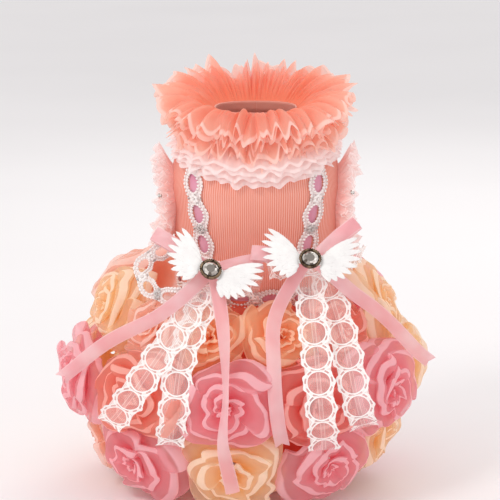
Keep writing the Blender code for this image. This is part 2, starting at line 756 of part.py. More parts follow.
def lace_tail(name, bow, line, tree):
    """A strip of wide lace with round windows, hanging over the rosettes."""
    points = np.asarray(line, float) * MILLIMETRE
    run = smooth_line(points, 60)
    length = np.linalg.norm(np.diff(run, axis=0), axis=1).sum()
    cells = max(int(round(length / LACE_TAIL_PITCH)), 2)
    count = 2 * cells + 1
    middle, side, facing = drape(bow, line, LACE_TAIL_HALF_WIDTH, LACE, count, tree)
    along = np.arange(count) / (count - 1) * cells * LACE_TAIL_PITCH

    def place(s, w, h):
        parts = [
            np.stack([np.interp(s, along, a[:, j]) for j in range(3)], 1) for a in (middle, side, facing)
        ]
        return parts[0] + parts[1] * w[:, None] + parts[2] * (h - LACE / 2)

    window = 0.38 * LACE_TAIL_PITCH
    strip = pierced_strip(
        name,
        cells,
        LACE_TAIL_PITCH,
        LACE_TAIL_HALF_WIDTH,
        0.82 * LACE_TAIL_HALF_WIDTH,
        (window, window),
        LACE,
        place,
    )
    settle([strip], BACKWARDS, tree)


def flat_strip(name, bow, line, half_width, thickness, count, colour, tree, twist=None, notched=False):
    """A plain ribbon laid over what is behind it, with a straight or a notched end."""
    turn = np.zeros(count) if twist is None else twist
    lift = half_width * np.abs(np.sin(turn))
    middle, side, facing = drape(bow, line, half_width, thickness, count, tree, lift)
    turn = turn[:, None]
    side, facing = side * np.cos(turn) + facing * np.sin(turn), facing * np.cos(turn) - side * np.sin(turn)
    shares = np.array((-1.0, 0.0, 1.0))
    grid = middle[:, None] + side[:, None] * shares[None, :, None] * half_width
    if notched:
        grid[-1, 1] += (middle[-2] - middle[-1]) * half_width / np.linalg.norm(middle[-2] - middle[-1])
    facing = facing[:, None] * thickness / 2
    vertices, faces = wall(grid + facing, grid - facing)
    settle([add_piece(name, vertices, faces, colour)], BACKWARDS, tree)


def hide_operand(piece):
    """A shape that only takes part in a union."""
    built.pop(piece.name)
    piece.hide_render = True
    piece.display_type = "WIRE"


def unite(base, others):
    """Join closed shapes into one body."""
    for other in others:
        hide_operand(other)
        join = base.modifiers.new("join_" + other.name, "BOOLEAN")
        join.operation = "UNION"
        join.solver = "EXACT"
        join.object = other


def lean(pieces, drop0):
    """Tip pieces about the level line of their bow, with their lower edge forward."""
    slope = radians(BOW_LEAN)
    for piece in pieces:
        for v in piece.data.vertices:
            y, z = v.co.y, v.co.z + drop0
            v.co.y = y * cos(slope) + z * sin(slope)
            v.co.z = -y * sin(slope) + z * cos(slope) - drop0


def seat(pieces, tree, gap):
    """How far to bring pieces forward so that they clear all that is behind them."""
    depth = []
    for piece in pieces:
        points = [v.co for v in piece.data.vertices]
        points += [(points[a] + points[b]) / 2 for a, b in (e.vertices for e in piece.data.edges)]
        for p in points:
            y = front_of(tree, p.x, p.z)
            if y is not None:
                depth.append(p.y - (y - gap))
    need = max(depth)
    for piece in pieces:
        for v in piece.data.vertices:
            v.co.y -= need
    return need


def satin_bow(name, tree):
    """The knot and the two flat loops of one satin bow."""
    across0, drop0, _ = bow_place(name)
    work = bmesh.new()
    bmesh.ops.create_cube(work, size=KNOT_SIZE)
    for v in work.verts:
        v.co = Vector((across0 + v.co.x, v.co.y * 0.7, v.co.z - drop0))
    edges = list(work.edges)
    bmesh.ops.bevel(work, geom=edges, offset=0.2 * KNOT_SIZE, segments=1, affect="EDGES")
    corners = [tuple(v.co) for v in work.verts]
    faces = [[v.index for v in f.verts] for f in work.faces]
    work.free()
    knot = add_piece("satin_bow_" + name, corners, faces, "pink_satin")
    loops = []
    for bow, direction, length in SATIN_LOOPS:
        if bow != name:
            continue
        out = np.array((cos(radians(direction)), 0, sin(radians(direction))))
        side = np.array((-out[2], 0, out[0]))
        t = np.arange(12) / 12 * 2 * pi
        share = 0.5 - 0.5 * np.cos(t)
        reach = length * share
        deep = LOOP_DEPTH / 2 * np.sin(t) * (0.3 + 0.7 * share)
        line = out * reach[:, None] + np.array((0, 1, 0)) * deep[:, None] + (across0, 0, -drop0)
        widths = SATIN_HALF_WIDTH * (0.62 + 0.38 * np.minimum(1.0, 1.6 * share))
        grid = line[:, None] + side * (np.array((-1, 1))[None, :, None] * widths[:, None, None])
        front, back = thicken(grid, RIBBON, wrap_rows=True)
        vertices, faces = wall(front, back, wrap_rows=True)
        loops.append(add_piece(f"loop_{name}_{len(loops)}", vertices, faces, "pink_satin"))
    lean([knot, *loops], drop0)
    seat([knot, *loops], tree, 2 * GAP)
    settle([knot, *loops], BACKWARDS, tree)
    unite(knot, loops)


def wing(name, side):
    """One cast wing in the plane of the brooch: feathers as ridges of a fan, stepped in two rows."""
    angles, lengths = [], []
    feathers = np.array(FEATHERS)
    for k, (angle, share) in enumerate(feathers):
        if k:
            angles.append((angle + feathers[k - 1, 0]) / 2)
            lengths.append(0.88 * (share + feathers[k - 1, 1]) / 2)
        angles.append(angle)
        lengths.append(share)
    angles = np.radians([angles[0] + 5, *angles, angles[-1] - 9])
    lengths = np.array([0.90 * lengths[0], *lengths, 0.86 * lengths[-1]]) * WING_SPAN
    ridge = np.where(np.arange(len(angles)) % 2, 1.0, 0.70)
    steps = np.array(FEATHER_STEPS)
    radius = lengths[:, None] * steps[None, :, 0]
    x = 0.15 * WING_SPAN + radius * np.cos(angles)[:, None]
    z = -0.08 * WING_SPAN + radius * np.sin(angles)[:, None]
    height = WING_RELIEF * steps[None, :, 1] * ridge[:, None]
    front = np.stack((side * x, -height, z), -1)
    back = np.stack((side * x, 0 * height, z), -1)
    vertices, faces = wall(front, back)
    return add_piece(name, vertices, faces, "white_enamel")


def turned_oval(profile, sides):
    """Rings of an oval turned about the facing axis: share of half width, share of half height, forward."""
    t = np.arange(sides) / sides * 2 * pi
    return np.array([[(w * cos(a), -y, h * sin(a)) for a in t] for w, h, y in profile])


def closed_oval(name, profile, sides, colour, smooth):
    """A closed solid from oval rings, with flat ends."""
    rings = turned_oval(profile, sides)
    faces = [tuple(f) for f in grid_faces(len(profile), sides, False, True)]
    faces.append(tuple(range(sides)))
    faces.append(tuple(range((len(profile) - 1) * sides, len(profile) * sides)))
    return add_piece(name, rings.reshape(-1, 3), faces, colour, smooth)


def brooch(name, tree):
    """A pair of cast wings on a bar, and a bronze setting with its stone in front of them."""
    across0, drop0, roll = bow_place(name)
    bar_half, bar_high = 0.36 * WING_SPAN, 0.14 * WING_SPAN
    bar_profile = (
        (bar_half, bar_high, 0.1 * WING_RELIEF),
        (bar_half, bar_high, 0.55 * WING_RELIEF),
    )
    bar = closed_oval("wings_" + name, bar_profile, 12, "white_enamel", False)
    wings = [wing(f"wing_{name}_{k}", side) for k, side in enumerate((-1, 1))]
    w, h = STONE_HALF_WIDTH + GAP, STONE_HALF_HEIGHT + GAP
    floor = 0.4 * BEZEL_HEIGHT
    base = WING_RELIEF + GAP
    cup = (
        (w + BEZEL, h + BEZEL, base),
        (w + BEZEL, h + BEZEL, base + 0.6 * BEZEL_HEIGHT),
        (w + 0.6 * BEZEL, h + 0.6 * BEZEL, base + BEZEL_HEIGHT),
        (w, h, base + BEZEL_HEIGHT),
        (w, h, base + floor),
    )
    setting = closed_oval("setting_" + name, cup, 16, "antique_bronze", True)
    seat_height = base + floor + GAP
    girdle = base + BEZEL_HEIGHT
    cut = (
        (0.45 * STONE_HALF_WIDTH, 0.45 * STONE_HALF_HEIGHT, seat_height),
        (STONE_HALF_WIDTH, STONE_HALF_HEIGHT, girdle - 0.2 * BEZEL_HEIGHT),
        (STONE_HALF_WIDTH, STONE_HALF_HEIGHT, girdle),
        (0.80 * STONE_HALF_WIDTH, 0.80 * STONE_HALF_HEIGHT, girdle + 0.6 * STONE_CROWN),
        (0.55 * STONE_HALF_WIDTH, 0.55 * STONE_HALF_HEIGHT, girdle + STONE_CROWN),
    )
    stone = closed_oval("stone_" + name, cut, 12, "clear_stone", False)
    pieces = [bar, *wings, setting, stone]
    for piece in pieces:
        for v in piece.data.vertices:
            x, z = v.co.x, v.co.z
            a = radians(roll)
            v.co.x = across0 + x * cos(a) - z * sin(a)
            v.co.z = -drop0 + x * sin(a) + z * cos(a)
    lean(pieces, drop0)
    forward = seat([bar, *wings], tree, 2 * GAP)
    for piece in (setting, stone):
        for v in piece.data.vertices:
            v.co.y -= forward
    settle(pieces, BACKWARDS, tree)
    inwards = (0, cos(radians(BOW_LEAN)), -sin(radians(BOW_LEAN)))
    settle([setting, stone], inwards, BVHTree.FromPolygons(*gathered([bar, *wings])))
    unite(bar, wings)


def carrier_points():
    """The corners of everything that the rosettes lie against."""
    names = ("bodice", "skirt_foundation", "waist_ribbon", "waist_lace")
    return np.array([tuple(v.co) for n in names for v in built[n].data.vertices])


def build():
    """Make every piece, from the cloth outwards, each laid over the ones before it."""
    for old in list(bpy.data.objects):
        bpy.data.objects.remove(old, do_unlink=True)
    bodice = body_shell("bodice", BODICE_SECTIONS[:, 0] * BODICE_LENGTH, BODICE_COLUMNS, "salmon_cloth")
    top = BODICE_LENGTH + GAP
    drops = top + FOUNDATION_SECTIONS[:, 0] * (FOUNDATION_LENGTH - GAP)
    body_shell("skirt_foundation", drops, FOUNDATION_COLUMNS, "lining")
    waist_trim()
    rosettes(carrier_points())
    cut_leg_holes(bodice)
    ruff("collar_ruff_upper", 0.0025, 0.004, RUFF_RISE, 1.0)
    ruff("collar_ruff_lower", 0.0085, 0.002, RUFF_RISE - 0.014, 0.93)
    yoke_frill()
    for side, name in ((-1, "left"), (1, "right")):
        sleeve_frill("sleeve_frill_" + name, side)
        strap(side, name)
    for name, (bow, line) in LACE_TAILS.items():
        lace_tail(name, bow, line, surface_of_all())
    for name, (bow, half_width, line) in FLAT_LOOPS.items():
        flat_strip(name, bow, line, half_width, LACE, LOOP_STATIONS, "white_lace", surface_of_all())
    for name, (bow, line, twist, notched) in SATIN_TAILS.items():
        turns = radians(twist) * np.sin(np.linspace(0, pi, TAIL_STATIONS)) ** 4
        tree = surface_of_all()
        flat_strip(
            name, bow, line, SATIN_HALF_WIDTH, RIBBON, TAIL_STATIONS, "pink_satin", tree, turns, notched
        )
    for name in BOWS:
        satin_bow(name, surface_of_all())
    for name in BOWS:
        brooch(name, surface_of_all())


build()
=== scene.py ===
from math import cos, pi, radians, sin

import bmesh
import bpy
import numpy as np
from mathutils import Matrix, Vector
from mathutils.bvhtree import BVHTree


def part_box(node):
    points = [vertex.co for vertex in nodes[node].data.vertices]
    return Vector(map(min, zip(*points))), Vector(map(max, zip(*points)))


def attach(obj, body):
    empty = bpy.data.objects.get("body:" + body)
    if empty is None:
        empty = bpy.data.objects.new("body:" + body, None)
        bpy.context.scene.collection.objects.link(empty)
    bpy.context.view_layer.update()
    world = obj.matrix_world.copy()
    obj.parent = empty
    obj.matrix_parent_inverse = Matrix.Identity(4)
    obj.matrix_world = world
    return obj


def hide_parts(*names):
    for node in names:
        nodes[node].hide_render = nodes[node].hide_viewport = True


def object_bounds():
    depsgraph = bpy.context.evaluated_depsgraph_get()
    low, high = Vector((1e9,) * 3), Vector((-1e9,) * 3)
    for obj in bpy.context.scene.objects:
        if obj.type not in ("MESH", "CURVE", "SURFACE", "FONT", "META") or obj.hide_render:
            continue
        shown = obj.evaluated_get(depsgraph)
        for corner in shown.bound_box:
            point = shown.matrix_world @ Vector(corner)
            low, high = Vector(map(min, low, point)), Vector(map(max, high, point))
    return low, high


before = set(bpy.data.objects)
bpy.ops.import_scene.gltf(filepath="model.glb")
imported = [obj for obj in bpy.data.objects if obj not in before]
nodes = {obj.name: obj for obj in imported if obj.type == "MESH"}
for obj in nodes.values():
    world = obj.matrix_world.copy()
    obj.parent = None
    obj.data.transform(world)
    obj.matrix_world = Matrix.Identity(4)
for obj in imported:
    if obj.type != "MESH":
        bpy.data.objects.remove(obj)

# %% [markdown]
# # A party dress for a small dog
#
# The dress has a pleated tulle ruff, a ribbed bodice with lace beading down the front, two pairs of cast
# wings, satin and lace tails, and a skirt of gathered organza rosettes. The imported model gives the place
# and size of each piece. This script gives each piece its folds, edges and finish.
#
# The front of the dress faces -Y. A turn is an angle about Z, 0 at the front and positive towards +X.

MM = 0.001
cad_box = [list(corner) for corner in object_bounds()]
print("model box in mm:", np.round(np.array(cad_box) / MM).tolist())

# %% [markdown]
# ## Camera
#
# The picture was taken from a little above the waist with a long lens, so upright lines stay parallel.
# One picture element is 0.72 mm at the middle of the dress, which sets the lens from the distance.

# %% Camera
CAMERA_DISTANCE = 1.9
CAMERA_RISE = radians(12.0)
AIM = Vector((-0.0040, 0.0, -0.1045))
FRAME_WIDTH = 500 * 0.72 * MM
SENSOR = 36.0

camera_data = bpy.data.cameras.new("camera")
camera_data.sensor_width = SENSOR
camera_data.lens = SENSOR * CAMERA_DISTANCE / FRAME_WIDTH
camera = bpy.data.objects.new("camera", camera_data)
bpy.context.scene.collection.objects.link(camera)
camera.location = AIM + Vector((0, -cos(CAMERA_RISE), sin(CAMERA_RISE))) * CAMERA_DISTANCE
camera.rotation_euler = (pi / 2 - CAMERA_RISE, 0, 0)
bpy.context.scene.camera = camera
print("lens in mm:", round(camera_data.lens))

# %% [markdown]
# ## Floor and light
#
# A pale floor runs on into a white surround. A big soft light from the upper left models the folds, a
# weaker one from the right fills them, and one behind the skirt lets the sheer cloth glow at its rim.

# %% Floor and light
floor_z = cad_box[0][2] - 4 * MM
floor_mesh = bpy.data.meshes.new("floor")
FLOOR_HALF = 8.0
corners = [(x * FLOOR_HALF, y * FLOOR_HALF, floor_z) for x, y in ((-1, -1), (1, -1), (1, 1), (-1, 1))]
floor_mesh.from_pydata(corners, [], [(0, 1, 2, 3)])
floor = bpy.data.objects.new("floor", floor_mesh)
bpy.context.scene.collection.objects.link(floor)

world = bpy.data.worlds.new("surround")
bpy.context.scene.world = world
world.use_nodes = True
world.node_tree.nodes["Background"].inputs["Color"].default_value = (1.0, 0.985, 0.985, 1)
world.node_tree.nodes["Background"].inputs["Strength"].default_value = 0.80


def soft_light(name, place, size, power, tint):
    """A square light that looks at the waist."""
    data = bpy.data.lights.new(name, "AREA")
    data.size, data.energy, data.color = size, power, tint
    lamp = bpy.data.objects.new(name, data)
    lamp.location = place
    lamp.rotation_euler = (AIM - Vector(place)).to_track_quat("-Z", "Y").to_euler()
    bpy.context.scene.collection.objects.link(lamp)


soft_light("key", (-0.75, -0.85, 0.95), 0.40, 6.0, (1.0, 0.98, 0.96))
soft_light("fill", (1.1, -0.9, 0.25), 0.9, 1.0, (1.0, 0.97, 0.97))
soft_light("rim", (0.35, 1.1, 0.75), 0.7, 3.5, (1.0, 0.97, 0.94))
bpy.context.scene.view_settings.view_transform = "Standard"
bpy.context.scene.cycles.transparent_max_bounces = 40
bpy.context.scene.cycles.transmission_bounces = 16

# %% [markdown]
# ## Shader sums
#
# A wire is a node's output that can be added, multiplied or compared as a number in Python, which keeps
# a long pattern readable. One method makes any other node.


# %% Shader sums
class Wire:
    """A node's output. Sums with numbers or other wires add Math nodes."""

    def __init__(self, tree, socket):
        self.tree, self.socket = tree, socket

    def node(self, kind, values=(), out=0, **settings):
        """Any node: its type, its settings, and a value or a wire for each socket named or in order."""
        made = self.tree.nodes.new(kind)
        for key, value in settings.items():
            setattr(made, key, value)
        pairs = values.items() if isinstance(values, dict) else enumerate(values)
        for key, value in pairs:
            if isinstance(value, Wire):
                self.tree.links.new(value.socket, made.inputs[key])
            elif value is not None:
                made.inputs[key].default_value = value
        return Wire(self.tree, made.outputs[out])

    def math(self, operation, *others):
        return self.node("ShaderNodeMath", (self, *others), operation=operation)

    def __add__(self, other):
        return self.math("ADD", other)

    def __sub__(self, other):
        return self.math("SUBTRACT", other)

    def __rsub__(self, other):
        return self.node("ShaderNodeMath", (other, self), operation="SUBTRACT")

    def __mul__(self, other):
        return self.math("MULTIPLY", other)

    def __truediv__(self, other):
        return self.math("DIVIDE", other)

    def __pow__(self, other):
        return self.math("POWER", other)

    __radd__, __rmul__ = __add__, __mul__

    def sine(self, turns):
        """The sine of this many turns for each unit, from -1 to 1."""
        return (self * (2 * pi * turns)).math("SINE")

    def rise(self, low, high):
        """0 below low, 1 above high, and a smooth step between."""
        return self.node(
            "ShaderNodeMapRange",
            {"Value": self, "From Min": low, "From Max": high},
            interpolation_type="SMOOTHSTEP",
        )

    def layout(self):
        """The two numbers of the piece's flat layout, along and across."""
        flat = self.node("ShaderNodeUVMap", uv_map="flat")
        return [self.node("ShaderNodeSeparateXYZ", (flat,), k) for k in (0, 1)]

    def noise(self, scale, detail=2.0, distortion=0.0):
        """Smooth noise fixed to the piece, about 0.5 in the middle."""
        place = self.node("ShaderNodeTexCoord", out=3)
        values = {"Vector": place, "Scale": scale, "Detail": detail, "Distortion": distortion}
        return self.node("ShaderNodeTexNoise", values)

    def blend(self, first, second):
        """The first colour where this is 0 and the second where it is 1."""
        return self.node("ShaderNodeMix", {0: self, 6: first, 7: second}, 2, data_type="RGBA")


def colour(r, g, b):
    """A colour as the screen shows it, from 0 to 255, as linear light."""
    shown = np.array((r, g, b)) / 255
    linear = np.where(shown <= 0.04045, shown / 12.92, ((shown + 0.055) / 1.055) ** 2.4)
    return (*linear.tolist(), 1.0)


def new_material(name, roughness, **sockets):
    """An empty material with its main shader's constants set, and a wire to start sums from."""
    made = bpy.data.materials.new(name)
    made.use_nodes = True
    shader = made.node_tree.nodes["Principled BSDF"]
    shader.inputs["Roughness"].default_value = roughness
    for key, value in sockets.items():
        shader.inputs[key.replace("_", " ")].default_value = value
    return made, shader, Wire(made.node_tree, None)


def feed(shader, wire, socket):
    """Link a wire to one of the shader's sockets."""
    wire.tree.links.new(wire.socket, shader.inputs[socket])


def bump(shader, height, strength, distance):
    """Raise the surface by a wire, as shading alone."""
    values = {"Height": height, "Strength": strength, "Distance": distance}
    feed(shader, height.node("ShaderNodeBump", values), "Normal")


def let_light_through(made, shader, tint, share):
    """Mix in light that passes to the far side of the cloth, so a lit fold glows on its shaded side too."""
    tree = made.node_tree
    through = tree.nodes.new("ShaderNodeBsdfTranslucent")
    through.inputs["Color"].default_value = tint
    mix = tree.nodes.new("ShaderNodeMixShader")
    mix.inputs[0].default_value = share
    tree.links.new(shader.outputs[0], mix.inputs[1])
    tree.links.new(through.outputs[0], mix.inputs[2])
    tree.links.new(mix.outputs[0], tree.nodes["Material Output"].inputs[0])


# %% [markdown]
# ## Sheer cloth
#
# Organza and tulle let part of the light straight through, so layers deepen each other's colour. Each
# sheet carries a number called edge, 0 where it is gathered and 1 at its cut edge. Towards the gathers the
# cloth is painted a deep colour as shade, and all of it gives off a faint painted glow of its own colour.
# The cut edge is a doubled hem, so it is paler and less sheer. The weave is too fine to model, so it is bump.


# %% Sheer cloth
def sheer(name, deep, pale, hem, cover=0.30, through=0.30, rim_from=0.93, painted_glow=0.10):
    """Thin cloth: a deep colour in its gathers as painted shade, pale further out, a lighter hem, and a painted
    glow.
    """
    made, shader, start = new_material(name, 0.6, Sheen_Weight=0.2, Sheen_Roughness=0.4)
    shader.inputs["Specular IOR Level"].default_value = 0.2
    edge = start.node("ShaderNodeAttribute", out=2, attribute_name="edge")
    cloud = start.noise(45.0, 3.0)
    # Painted shade: tone runs from the deep colour in the gathers, where edge is 0, to the pale one further
    # out.
    tone = (edge + (cloud - 0.5) * 0.8).rise(0.1, 0.95)
    body = tone.blend(colour(*deep), colour(*pale))
    rim = edge.rise(rim_from, rim_from + 0.5 * (1 - rim_from))
    tint = rim.blend(body, colour(*hem))
    feed(shader, tint, "Base Color")
    # Painted glow: the cloth gives off a little light in its own colour.
    feed(shader, tint, "Emission Color")
    shader.inputs["Emission Strength"].default_value = painted_glow
    feed(shader, cover + rim * (0.8 - cover) + (1 - edge.rise(0.0, 0.7)) * (0.9 - cover), "Alpha")
    bump(shader, start.noise(900.0, 1.0) * 0.15 + start.noise(110.0, 4.0, 0.6), 0.6, 0.0012)
    let_light_through(made, shader, colour(*(np.array(deep) + np.array(pale)) / 2), through)
    return made


# Each cloth's first colour is the painted shade of its gathers; for the white tulle it is a pink shade.
SHEER = {
    "cream": sheer("cream_organza", (252, 206, 140), (254, 236, 208), (255, 242, 222), rim_from=0.97),
    "peach": sheer("peach_organza", (250, 184, 152), (254, 226, 212), (255, 234, 224), rim_from=0.97),
    "apricot": sheer("apricot_organza", (250, 162, 100), (254, 216, 176), (255, 226, 196), rim_from=0.97),
    "salmon": sheer("salmon_organza", (242, 126, 102), (252, 186, 168), (254, 200, 186), rim_from=0.97),
    "coral": sheer("coral_organza", (236, 96, 84), (250, 170, 160), (253, 190, 182), rim_from=0.97),
    "pink": sheer("pink_organza", (244, 140, 152), (252, 200, 206), (254, 210, 216), rim_from=0.97),
}
RUFF_TULLE = sheer("peach_tulle", (250, 156, 124), (254, 212, 194), (255, 236, 228), 0.46, 0.35, 0.90)
WHITE_TULLE = sheer("white_tulle", (252, 212, 206), (255, 244, 242), (255, 252, 252), 0.62, 0.30, 0.86)
print("sheer cloths:", len(SHEER) + 2)

# %% [markdown]
# ## Sheets from grids
#
# Each piece of cloth is a grid of points worked out as a whole array. This cell turns one grid, or a
# stack of them, into one mesh, with a flat layout in metres for patterns and the edge number for tints.


# %% Sheets from grids
def grid_mesh(name, points, finish, edge=None, flat=None, closed=False, smooth=True):
    """One mesh from grids of points, shaped (sheets, rows, columns, 3).

    Corner r, c of each sheet joins its neighbours r + 1 and c + 1. closed joins the last column to the first.
    """
    points = np.asarray(points, float)
    if points.ndim == 3:
        points = points[None]
    sheets, rows, columns = points.shape[:3]
    r, c = np.meshgrid(np.arange(rows - 1), np.arange(columns if closed else columns - 1), indexing="ij")
    r, c = r.ravel(), c.ravel()
    beside = (c + 1) % columns
    here, below = r * columns, (r + 1) * columns
    quad = np.stack((here + c, here + beside, below + beside, below + c), 1)
    quad = (quad[None] + (np.arange(sheets) * rows * columns)[:, None, None]).reshape(-1, 4)
    mesh = bpy.data.meshes.new(name)
    mesh.vertices.add(sheets * rows * columns)
    mesh.vertices.foreach_set("co", points.ravel())
    mesh.loops.add(quad.size)
    mesh.loops.foreach_set("vertex_index", quad.ravel())
    mesh.polygons.add(len(quad))
    mesh.polygons.foreach_set("loop_start", np.arange(len(quad)) * 4)
    mesh.update(calc_edges=True)
    mesh.validate()
    if edge is not None:
        values = np.broadcast_to(edge, points.shape[:3]).ravel()
        mesh.attributes.new("edge", "FLOAT", "POINT").data.foreach_set("value", values)
    if flat is not None:
        layout = np.broadcast_to(flat, (*points.shape[:3], 2)).reshape(-1, 2)
        mesh.uv_layers.new(name="flat").data.foreach_set("uv", layout[quad.ravel()].ravel())
    if smooth:
        mesh.shade_smooth()
    mesh.materials.append(finish)
    piece = bpy.data.objects.new(name, mesh)
    bpy.context.scene.collection.objects.link(piece)
    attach(piece, "root")
    return piece


def area_of(piece):
    """The area of a mesh in square metres."""
    areas = np.empty(len(piece.data.polygons))
    piece.data.polygons.foreach_get("area", areas)
    return float(areas.sum())


def waves(angle, counts, sizes, seed):
    """A sum of sine waves round a ring, each with its own count, size and start, for uneven folds."""
    starts = np.random.default_rng(seed).uniform(0, 2 * pi, len(counts))
    return sum(a * np.sin(n * angle + s) for n, a, s in zip(counts, sizes, starts))


def cloth(piece, node, width):
    """Hide the node of the model that a piece of cloth stands for, and give back the piece."""
    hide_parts(node)
    area_of(piece) / width
    return piece


# %% [markdown]
# ## The body under the trim
#
# The bodice is a tube with rounded square sections that swell from the neck to the chest and narrow to
# the waist. Everything that is sewn to it is placed with the same function, off its surface by a little.

# %% The body under the trim
NECK = (0.0280, 0.0260)
CHEST = (0.0605, 0.0520)
WAIST = (0.0520, 0.0460)
BODICE_LENGTH = 0.130
SQUARENESS = 2.4
SECTIONS = np.array((
    (0.00, 0.00, 0.00), (0.05, 0.06, 0.00), (0.12, 0.36, 0.00), (0.20, 0.68, 0.00), (0.30, 0.90, 0.00),
    (0.42, 1.00, 0.00), (0.60, 1.00, 0.18), (0.80, 1.00, 0.60), (1.00, 1.00, 1.00),
))


def body_sizes(z):
    """Half width and half depth at a height, from the table of sections."""
    share = -z / BODICE_LENGTH
    chest, waist = (np.interp(share, SECTIONS[:, 0], SECTIONS[:, k]) for k in (1, 2))
    return tuple(NECK[k] + (CHEST[k] - NECK[k]) * chest + (WAIST[k] - CHEST[k]) * waist for k in (0, 1))


def section_radius(turn, half_width, half_depth):
    """Distance from the middle of a rounded square section to its edge."""
    across = (np.abs(np.sin(turn)) / half_width) ** SQUARENESS
    along = (np.abs(np.cos(turn)) / half_depth) ** SQUARENESS
    return (across + along) ** (-1 / SQUARENESS)


def body_point(turn, z, off=0.0):
    """A point of the bodice, or off it by a distance."""
    r = section_radius(turn, *body_sizes(z)) + off
    return np.stack((r * np.sin(turn), -r * np.cos(turn), np.broadcast_to(z, r.shape)), -1)


# %% [markdown]
# ## Bodice
#
# The cloth is finely ribbed: pale cords 1.6 mm apart run from neck to waist. They are too fine for
# faces, so they are bump and colour along the flat layout, whose first number is the way round.

# %% Bodice
RIB = 1.6 * MM
LEG_HOLE = (0.019, 0.024, -0.004, -0.066)
SNAPPED_FROM = 0.86
WALL = 1.2 * MM


def ribbed_cloth():
    """Salmon cloth with pale cords: a sine along the girth gives both tint and height."""
    made, shader, start = new_material("salmon_cloth", 0.7, Sheen_Weight=0.2)
    girth, _ = start.layout()
    cord = girth.sine(1 / RIB) * 0.5 + 0.5
    ground = start.noise(30.0).rise(0.3, 0.7).blend(colour(236, 138, 116), colour(243, 152, 132))
    feed(shader, cord.rise(0.45, 0.95).blend(ground, colour(252, 190, 174)), "Base Color")
    bump(shader, cord + start.noise(1500.0) * 0.4, 0.6, 0.0004)
    return made


SALMON_CLOTH = ribbed_cloth()
turn, z = np.meshgrid(np.linspace(-pi, pi, 241)[:-1], np.linspace(-0.4 * MM, -BODICE_LENGTH, 90))
fold_line = np.sin((turn * 2.2 + z / 0.034) * 2.0) * np.clip(np.sin(turn + 0.2), 0, 1)
fold = -0.0006 * fold_line * np.clip(-z / BODICE_LENGTH - 0.35, 0, 1)
points = body_point(turn, z, fold)
y_share = (points[..., 1] - LEG_HOLE[2]) / LEG_HOLE[0]
z_share = (points[..., 2] - LEG_HOLE[3]) / LEG_HOLE[1]
inside = np.sqrt(y_share**2 + z_share**2)
snapped = (inside < 1) & (inside > SNAPPED_FROM)
grow = np.where(snapped, 1 / np.maximum(inside, 0.5), 1.0)
points[..., 1] = LEG_HOLE[2] + (points[..., 1] - LEG_HOLE[2]) * grow
points[..., 2] = LEG_HOLE[3] + (points[..., 2] - LEG_HOLE[3]) * grow
girth = np.stack((turn * (CHEST[0] + CHEST[1]) / 2, z), -1)
bodice = grid_mesh("bodice_cloth", points, SALMON_CLOTH, flat=girth, closed=True)
open_corners = (inside <= SNAPPED_FROM).ravel()


def remove_corners(piece, unwanted):
    """Take out the faces that have any of these corners, and the corners."""
    work = bmesh.new()
    work.from_mesh(piece.data)
    work.verts.ensure_lookup_table()
    doomed = [work.verts[int(k)] for k in np.flatnonzero(unwanted)]
    bmesh.ops.delete(work, geom=doomed, context="VERTS")
    work.to_mesh(piece.data)
    work.free()


remove_corners(bodice, open_corners)
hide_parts("bodice")
hem = bodice.modifiers.new("wall", "SOLIDIFY")
hem.thickness, hem.offset = WALL, -1.0
print("bodice faces:", len(bodice.data.polygons))

# %% [markdown]
# ## Skirt lining
#
# Under the rosettes hangs a plain bell of lining that they are sewn to. It keeps the model's own shape,
# and gets a soft woven bump. Its deep coral is painted shade: the colour of the shaded gaps between the
# rosettes.


# %% Skirt lining
def lining_in_painted_shade():
    """Matte lining in a deep coral that is painted shade for the gaps between the rosettes, with a woven bump.
    """
    made, shader, start = new_material("lining", 0.8)
    cloud = start.noise(25.0, 3.0).rise(0.3, 0.7)
    # Painted shade: the lining is coloured the deep coral of the shaded gaps between the rosettes.
    feed(shader, cloud.blend(colour(226, 84, 62), colour(238, 122, 98)), "Base Color")
    bump(shader, start.noise(1200.0), 0.4, 0.0004)
    return made


FOUNDATION_LENGTH = 0.112
BELL = np.array((
    (0.00, 0.0520, 0.0460), (0.22, 0.0640, 0.0575), (0.46, 0.0736, 0.0667), (0.66, 0.0760, 0.0690),
    (0.84, 0.0701, 0.0640), (1.00, 0.0620, 0.0570),
))
turn, share = np.meshgrid(np.linspace(-pi, pi, 161)[:-1], np.linspace(0, 1, 50))
half_width, half_depth = (np.interp(share, BELL[:, 0], BELL[:, k]) for k in (1, 2))
shift = -0.009 * (half_width - BELL[0, 1]) / 0.024 * (share < 0.66) - 0.009 * (share >= 0.66)
radius = section_radius(turn, half_width, half_depth) + waves(turn, (24, 37), (0.0004, 0.0003), 5) * share
drop = BODICE_LENGTH + 0.0005 + share * (FOUNDATION_LENGTH - 0.001)
bell = np.stack((shift + radius * np.sin(turn), -radius * np.cos(turn), -drop), -1)
lining = grid_mesh("skirt_lining", bell, lining_in_painted_shade(), closed=True)
wall = lining.modifiers.new("wall", "SOLIDIFY")
wall.thickness, wall.offset = WALL, -1.0
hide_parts("skirt_foundation")
print("lining depth in mm:", round(float(np.ptp(bell[..., 1])) / MM))

# %% [markdown]
# ## Rosettes
#
# A rosette is one long band of organza, gathered along one side and wound round itself. So it is one
# surface: the way along the band winds outwards as a spiral, and the way across it goes from the gathers,
# deep inside, up to a soft fold, which reaches the form that the model gives, and back down. The band is
# folded double, so its visible edge is round, and its waves grow from the gathers to the fold.

